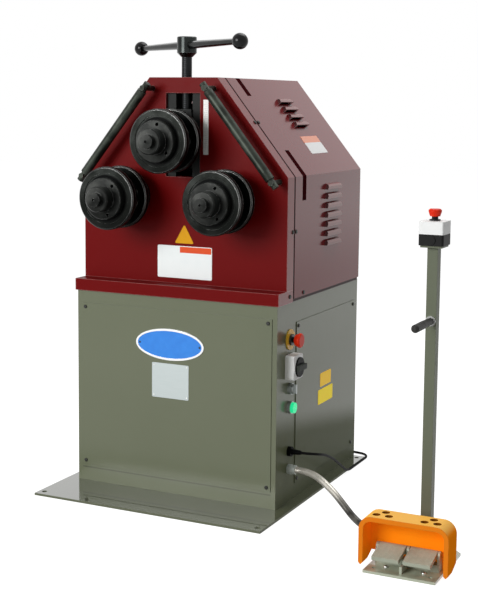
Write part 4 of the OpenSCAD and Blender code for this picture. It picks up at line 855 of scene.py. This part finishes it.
def cover_red(place):
    """A clear gloss over the red, duller low down; painted shade in the slots, beside the seam and on the
    louvers' front ends, and the louvers painted paler as a painted highlight.
    """
    sockets = painted(place, cover_colour, head_worn, peel=0.16 * mm, edge=1.0 * mm)
    mirrored = folded_over(place)
    height = along(mirrored, "Z")
    depth = along(place, "Y")
    sunk = slope_out.dot(ridge) - dot(mirrored, slope_out)
    for other in (shoulder.x - along(mirrored, "X"), ridge.z - height, cover_back - depth):
        sunk = sunk.math("MINIMUM", other)
    # Painted shade: the slots' floors and the strip beside the seam with the front plate are painted dark.
    slot_shade = between(sunk, 0.8 * mm, 1.3 * mm)
    seam = 1 - between(depth, seam_back + 1.5 * mm, seam_back + 3 * mm)
    darkening = slot_shade.math("MAXIMUM", 0.8 * seam)
    proud = between(0 - sunk, 0.5 * mm, 5 * mm)
    ends = proud * between(0 - along(surface(place), "Y"), 0.3, 0.7)
    # Painted highlight: the louvers are painted a paler red.
    red = mix(0.55 * proud, sockets["Base Color"], rgb(170, 124, 122))
    # Painted shade: the louvers' front ends are painted dark.
    red = mix(0.85 * ends, red, rgb(66, 26, 29))
    gloss = 0.6 + 0.34 * between(height, *cover_dust) + 0.06 * between(depth, seam_back, cover_back)
    return sockets | {
        "Base Color": mix(darkening, red, rgb(62, 18, 21)), "Specular IOR Level": 0.0,
        "Coat Weight": gloss * (1 - darkening), "Coat Roughness": 0.2, "Coat IOR": 1.6}


dress(finish("cover_red_gloss", cover_red), "rear_cover")

# Cover label: a thin plate of glossy plastic sheet on the cover's right slope, white with an
# orange end. It is glued flat to the cover.
label_run = (200 * mm, 259 * mm)
label_y = (95 * mm, 210 * mm)
label_end = label_run[0] + 22 * mm
label_corner = 2 * mm
label_t = 0.6 * mm
label_ease = 0.2 * mm
label_at = ridge + down_slope * sum(label_run) / 2 + y_axis * sum(label_y) / 2
cover_label = plate("cover_label", label_at, label_y[1] - label_y[0], label_run[1] - label_run[0],
                    label_corner, label_t, label_ease, y_axis, -down_slope)


def slope_run(place):
    """How far down the cover's slope a place is, from the ridge."""
    return dot(place, down_slope) - down_slope.dot(ridge)


def two_tone(place):
    orange = 1 - between(slope_run(place), label_end - 0.3 * mm, label_end + 0.3 * mm)
    cloud = noise(place, 50)
    pale = mix(cloud, rgb(246, 247, 246), rgb(252, 252, 251))
    return {"Base Color": mix(orange, pale, rgb(246, 130, 68)), "Roughness": 0.34 + 0.14 * cloud,
            "Coat Weight": 0.9, "Coat Roughness": 0.15, "Normal": rounded(place, 0.3 * mm)}


cover_label.data.materials.append(finish("label_two_tone", two_tone))

# Guide bars: round steel bars with a sleeve along each sloping edge, on posts that are
# screwed into the plate. Plain dark steel, threaded towards the ends.
thread_pitch = 2.5 * mm
thread_reach = 40 * mm
bar_length = (shoulder - ridge).length


def bar_steel(place):
    run = slope_run(folded_over(place))
    upper_end = 1 - between(run, thread_reach, thread_reach + 2 * mm)
    lower_end = between(run, bar_length - thread_reach, bar_length - thread_reach + 2 * mm)
    thread = threads(run, thread_pitch) * (upper_end + lower_end)
    normal = rounded(place, 0.8 * mm)
    cloud = between(noise(place, 30, 5), 0.35, 0.7)
    rub = edges(place, normal) * (0.4 + 0.6 * cloud)
    green = mix(cloud, rgb(42, 46, 41), rgb(62, 67, 60))
    return {"Base Color": mix(0.7 * rub, green, rgb(170, 173, 166)), "Metallic": 0.7,
            "Specular IOR Level": 0.2, "Roughness": 0.34 + 0.12 * cloud,
            "Normal": bump(thread, 0.5 * mm, normal)}


dress(finish("bar_steel", bar_steel), "guide_bars")

# Controls on the side: a stop button on a yellow plate, an isolator in a pale box with
# a black knob, a plated selector and a lit green button, each screwed into the sheet.
# The mains lead's gland sits below them, and the conduit has a plated fitting at each end.
stop_plate_low = 405 * mm
stop_plate_t = 3.2 * mm
stop_plate_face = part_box("cabinet_shell")[1].x + stop_plate_t


def collars(place):
    """The stop button's plate is yellow with a black collar, the two bezels below it are plated."""
    stop = between(along(place, "Z"), stop_plate_low, stop_plate_low + 2 * mm)
    raised = between(along(place, "X"), stop_plate_face, stop_plate_face + 0.2 * mm)
    speck = noise(place, 200)
    plated = mix(speck, rgb(138, 144, 142), rgb(170, 175, 173))
    return {"Base Color": mix(stop, plated, mix(raised, rgb(236, 188, 40), rgb(20, 20, 20))),
            "Metallic": 0.8 * (1 - stop), "Roughness": 0.3 + 0.12 * speck, "Normal": rounded(place, 0.8 * mm)}


dress(finish("switch_collars", collars), "switch_bezels", "selector_knob")
cap_h = 17 * mm


def red_mould(axis, cap):
    """Red cap on a black neck: the cap starts at a given height along its axis."""
    def recipe(place):
        red = between(along(place, axis), cap - 0.3 * mm, cap + 0.1 * mm)
        smudge = between(noise(place, 70, 4), 0.4, 0.75)
        skin = mix(smudge, rgb(228, 46, 18), rgb(240, 70, 36))
        return {"Base Color": mix(red, rgb(18, 18, 18), skin), "Roughness": 0.3 + 0.18 * smudge,
                "Specular IOR Level": 0.12,
                "Normal": bump(noise(place, 300), 0.05 * mm, rounded(place, 1 * mm))}
    return recipe


dress(finish("stop_red", red_mould("X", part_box("estop_head")[1].x - cap_h)), "estop_head")


def pale_mould(place):
    speck = noise(place, 160, 4)
    return {"Base Color": mix(speck, rgb(246, 248, 247), rgb(252, 253, 252)),
            "Roughness": 0.35 + 0.15 * speck, "Specular IOR Level": 0.3,
            "Normal": bump(noise(place, 700), 0.06 * mm, rounded(place, 1 * mm))}


dress(finish("pale_mould", pale_mould), "isolator_box")


def black_mould(place):
    grain = noise(place, 800, 2)
    cloud = noise(place, 30)
    return {"Base Color": mix(cloud, rgb(6, 7, 6), rgb(13, 14, 13)), "Roughness": 0.4 + 0.2 * grain,
            "Specular IOR Level": 0.03, "Normal": bump(grain, 0.12 * mm, rounded(place, 0.8 * mm))}


dress(finish("black_mould", black_mould), "mains_gland")
finger_bar_h = 7.8 * mm
finger_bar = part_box("isolator_knob")[1].x - finger_bar_h


def handled_mould(place):
    """The same plastic, with the knob's finger bar worn grey by hands."""
    sockets = black_mould(place)
    bar = between(along(place, "X"), finger_bar, finger_bar + 0.4 * mm)
    return sockets | {"Base Color": mix(bar, sockets["Base Color"], rgb(64, 68, 63)),
                      "Roughness": 0.2 + 0.12 * noise(place, 60)}


dress(finish("handled_mould", handled_mould), "isolator_knob")


def dull_zinc(place):
    speck = noise(place, 220, 4)
    return {"Base Color": mix(speck, rgb(168, 176, 170), rgb(196, 202, 196)), "Metallic": 0.3,
            "Roughness": 0.5 + 0.14 * speck, "Normal": rounded(place, 0.8 * mm)}


dress(finish("dull_zinc", dull_zinc), "conduit_fittings")


def lit_lens(place):
    rings = place.node("TexWave", {"wave_type": "RINGS", "rings_direction": "X"},
                       {"Vector": place, "Scale": 260})
    return {"Base Color": mix(rings, rgb(8, 160, 92), rgb(24, 200, 124)), "Roughness": 0.2 + 0.1 * rings,
            "Specular IOR Level": 0.3,
            "Emission Color": mix(rings, rgb(10, 226, 140), rgb(60, 250, 180)), "Emission Strength": 0.7,
            "Normal": bump(rings, 0.15 * mm, rounded(place, 0.8 * mm))}


dress(finish("lit_green_lens", lit_lens), "start_button")

# Plug: a black body moulded on the end of the mains lead, with three brass pins. It
# lies on the floor behind the cabinet, at the end of the coil.
pin_length = 18 * mm
plug_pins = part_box("mains_plug")[1].x - pin_length


def plug_mould(place):
    pin = between(along(place, "X"), plug_pins, plug_pins + 0.5 * mm)
    grain = noise(place, 700, 2)
    return {"Base Color": mix(pin, rgb(26, 26, 27), rgb(196, 160, 92)), "Metallic": pin,
            "Roughness": 0.5 - 0.25 * pin + 0.15 * grain,
            "Normal": bump(grain, 0.08 * mm, rounded(place, 0.8 * mm))}


dress(finish("plug_mould", plug_mould), "mains_plug")

# Foot switch stand: a square tube pole on a flat steel base, with a peg grip to carry it
# and a small button box on top. The tube is painted like the cabinet, the base grey.
pole_darker_band = (30 * mm, 420 * mm)


def pole_paint(place):
    sockets = painted(place, rgb(104, 110, 92), rgb(144, 147, 130), 0.34, edge=1.0 * mm)
    # Darker towards the bottom.
    darker_low = (1 - between(along(place, "Z"), *pole_darker_band)) * (0.6 + 0.4 * noise(place, 12))
    return sockets | {"Base Color": mix(0.3 * darker_low, sockets["Base Color"], rgb(96, 96, 84)),
                      "Specular IOR Level": 0.1}


dress(finish("pole_paint", pole_paint), "stand_pole")
dress(finish("stand_stop_red", red_mould("Z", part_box("stand_estop_head")[1].z - cap_h)), "stand_estop_head")
lid_collar_h = 3.5 * mm
lid_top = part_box("button_box_lid")[1].z - lid_collar_h


def lid_mould(place):
    """The isolator box's pale plastic, with a black collar raised round the button."""
    sockets = pale_mould(place)
    collar = between(along(place, "Z"), lid_top + 0.1 * mm, lid_top + 0.4 * mm)
    return sockets | {"Base Color": mix(collar, sockets["Base Color"], rgb(20, 20, 20))}


dress(finish("lid_mould", lid_mould), "button_box_lid")


def box_mould(place):
    """The gland's black plastic with a satin skin, which pales where it is seen edge on."""
    return black_mould(place) | {"Specular IOR Level": 0.14}


dress(finish("box_mould", box_mould), "button_box")
peg_length = 119 * mm
washer_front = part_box("stand_grip")[0].y + peg_length


def grip_rubber(place):
    """A rubber sleeve, with a bright washer and bolt where the peg meets the pole."""
    bright = between(along(place, "Y"), washer_front - 0.2 * mm, washer_front + 0.2 * mm)
    skin = mix(noise(place, 24), rgb(26, 26, 25), rgb(52, 52, 49))
    return {"Base Color": mix(bright, skin, rgb(214, 215, 212)), "Specular IOR Level": 0.25,
            "Metallic": 0.9 * bright, "Roughness": 0.55 - 0.3 * bright,
            "Normal": bump(noise(place, 900), 0.15 * mm, rounded(place, 0.4 * mm))}


dress(finish("grip_rubber", grip_rubber), "stand_grip")


def base_paint(place):
    sockets = painted(place, rgb(176, 184, 160), rgb(202, 206, 188), 0.34, edge=0.8 * mm, wear=0.6)
    rub = between(noise(place, 35, 5), 0.5, 0.68)
    return sockets | {
        "Base Color": mix(0.25 * rub, sockets["Base Color"], rgb(124, 122, 110)), "Metallic": 0.3 * rub,
        "Coat Weight": 1 - 0.4 * rub, "Coat Roughness": 0.08}


dress(finish("base_paint", base_paint), "stand_base")
base_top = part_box("stand_base")[1].z
base_screw_y = -450 * mm
base_screw_d = 11 * mm
base_screw_h = 5 * mm
for side, x in (("left", 689 * mm), ("right", 778 * mm)):
    at = Vector((x, base_screw_y, base_top))
    screw = dome(f"base_screw_{side}", at, z_axis, base_screw_d, base_screw_h)
    screw.data.materials.append(bright_zinc)

# Pedal guard and pedals: an orange moulded hood over a cast switch body, with two ribbed
# treads that rock on one axle and are scuffed by boots.
guard_low, guard_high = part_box("pedal_guard")
hood_hole_r = 9.4 * mm
hood_holes = ((42, 24), (72, 24), (57, 47))


def guard_mould(place):
    """Signal orange, rubbed pale along its edges and darker along the front lip; painted light on the top
    faces, painted shade in the holes and a painted glow over the skin.
    """
    normal = rounded(place, 1.6 * mm)
    across = (along(place, "X") - (guard_low.x + guard_high.x) / 2).math("ABSOLUTE")
    depth = along(place, "Y") - guard_low.y
    # Painted shade: the holes through the hood are painted dark.
    holes = 0
    for x, y in hood_holes:
        dx = across - x * mm
        dy = depth - y * mm
        holes = holes + (dx * dx + dy * dy).math("LESS_THAN", hood_hole_r ** 2)
    grain = noise(place, 500, 2)
    cloud = noise(place, 14, 4)
    rub = edges(place, normal) * between(noise(place, 80, 4), 0.45, 0.65)
    orange = mix(cloud, rgb(250, 130, 10), rgb(255, 148, 22))
    rubbed = mix(0.4 * rub, orange, rgb(250, 178, 92))
    # Painted light: faces turned upwards are painted a paler orange.
    top = between(along(surface(place), "Z"), 0.3, 0.9)
    top_painted_lighter = mix(top, rubbed, rgb(255, 192, 86))
    # The front lip is painted darker.
    lip = 1 - between(depth, 1 * mm, 3 * mm)
    skin = mix(0.45 * lip, mix(0.85 * holes, top_painted_lighter, rgb(52, 32, 8)), rgb(184, 104, 40))
    # Painted glow: the skin gives off its own colour, though the hood is no lamp.
    return {"Base Color": skin, "Roughness": 0.3 + 0.14 * grain, "Specular IOR Level": 0.0,
            "Coat Weight": 0.2 * top, "Coat Roughness": 0.2,
            "Emission Color": skin, "Emission Strength": 0.14, "Normal": bump(grain, 0.12 * mm, normal)}


dress(finish("guard_mould", guard_mould), "pedal_guard")


def cast_alloy(place):
    normal = rounded(place, 0.7 * mm)
    grain = noise(place, 420, 3)
    darkening = between(noise(place, 14, 5), 0.4, 0.75)
    rub = edges(place, normal) * between(noise(place, 110, 4), 0.35, 0.6)
    grey = mix(darkening, rgb(172, 178, 160), rgb(148, 152, 134))
    return {"Base Color": mix(0.6 * rub, grey, rgb(220, 214, 198)), "Metallic": 0.15,
            "Roughness": 0.44 + 0.14 * grain, "Normal": bump(grain, 0.06 * mm, normal)}


dress(finish("cast_alloy", cast_alloy), "pedal_switch_body", "pedal_left", "pedal_right")
dress(ground_finish, "pedal_axle")

# Floor: a plain pale sheet that shows white to the camera and keeps a soft shadow of
# the machine where it stands.
floor_half = 14
floor_drop = 0.4 * mm
floor_grey = (0.42, 0.42, 0.42, 1)
floor_glow = 0.9
white = (1, 1, 1, 1)
floor_mesh = bmesh.new()
floor_mesh.faces.new([floor_mesh.verts.new((x * floor_half, y * floor_half, -floor_drop))
                      for x, y in ((-1, -1), (1, -1), (1, 1), (-1, 1))])
floor_sheet = mesh_object("floor_sheet", floor_mesh)


def shown_rays(tree):
    """1 for what the camera sees, straight or by way of metal or glass, and 0 for light on the machine."""
    rays = tree.nodes.new("ShaderNodeLightPath").outputs
    seen = Shade(rays["Is Camera Ray"])
    for kind in ("Is Glossy Ray", "Is Transmission Ray"):
        seen = seen.math("MAXIMUM", Shade(rays[kind]))
    return seen


floor_material = bpy.data.materials.new("floor_sheet")
floor_material.use_nodes = True
floor_tree = floor_material.node_tree
floor_tree.nodes.remove(floor_tree.nodes["Principled BSDF"])
seen = shown_rays(floor_tree)
matte = seen.node("BsdfDiffuse", {}, {"Color": floor_grey})
glow = seen.node("Emission", {}, {"Color": white, "Strength": floor_glow * seen})
both = seen.node("AddShader", {}, {0: matte, 1: glow})
floor_tree.links.new(both.socket, floor_tree.nodes["Material Output"].inputs["Surface"])
floor_sheet.data.materials.append(floor_material)

# Studio light: a large soft key from the operator's left, a soft box overhead behind the
# machine's right side, and a pale world that shows white.
world_light = 0.25
world = bpy.data.worlds.new("studio")
bpy.context.scene.world = world
world.use_nodes = True
world_tree = world.node_tree
background = world_tree.nodes["Background"]
strength = world_light + (1 - world_light) * shown_rays(world_tree)
world_tree.links.new(strength.socket, background.inputs["Strength"])
background.inputs["Color"].default_value = white


def soft_box(name, at, aim, size, power):
    lamp = bpy.data.lights.new(name, "AREA")
    lamp.shape = "RECTANGLE"
    lamp.size, lamp.size_y = size
    lamp.energy = power
    light = bpy.data.objects.new(name, lamp)
    light.location = at
    light.rotation_euler = (Vector(aim) - Vector(at)).to_track_quat("-Z", "Y").to_euler()
    bpy.context.scene.collection.objects.link(light)


soft_box("key_light", at=(-1.8, -5.0, 2.2), aim=(0, 0, 0.5), size=(3.0, 2.4), power=230)
soft_box("top_light", at=(0.5, 1.0, 3.6), aim=(0.1, 0.1, 0.8), size=(2.2, 2.2), power=52)

# Closing: colours are shown as they are written.
bpy.context.scene.view_settings.view_transform = "Standard"
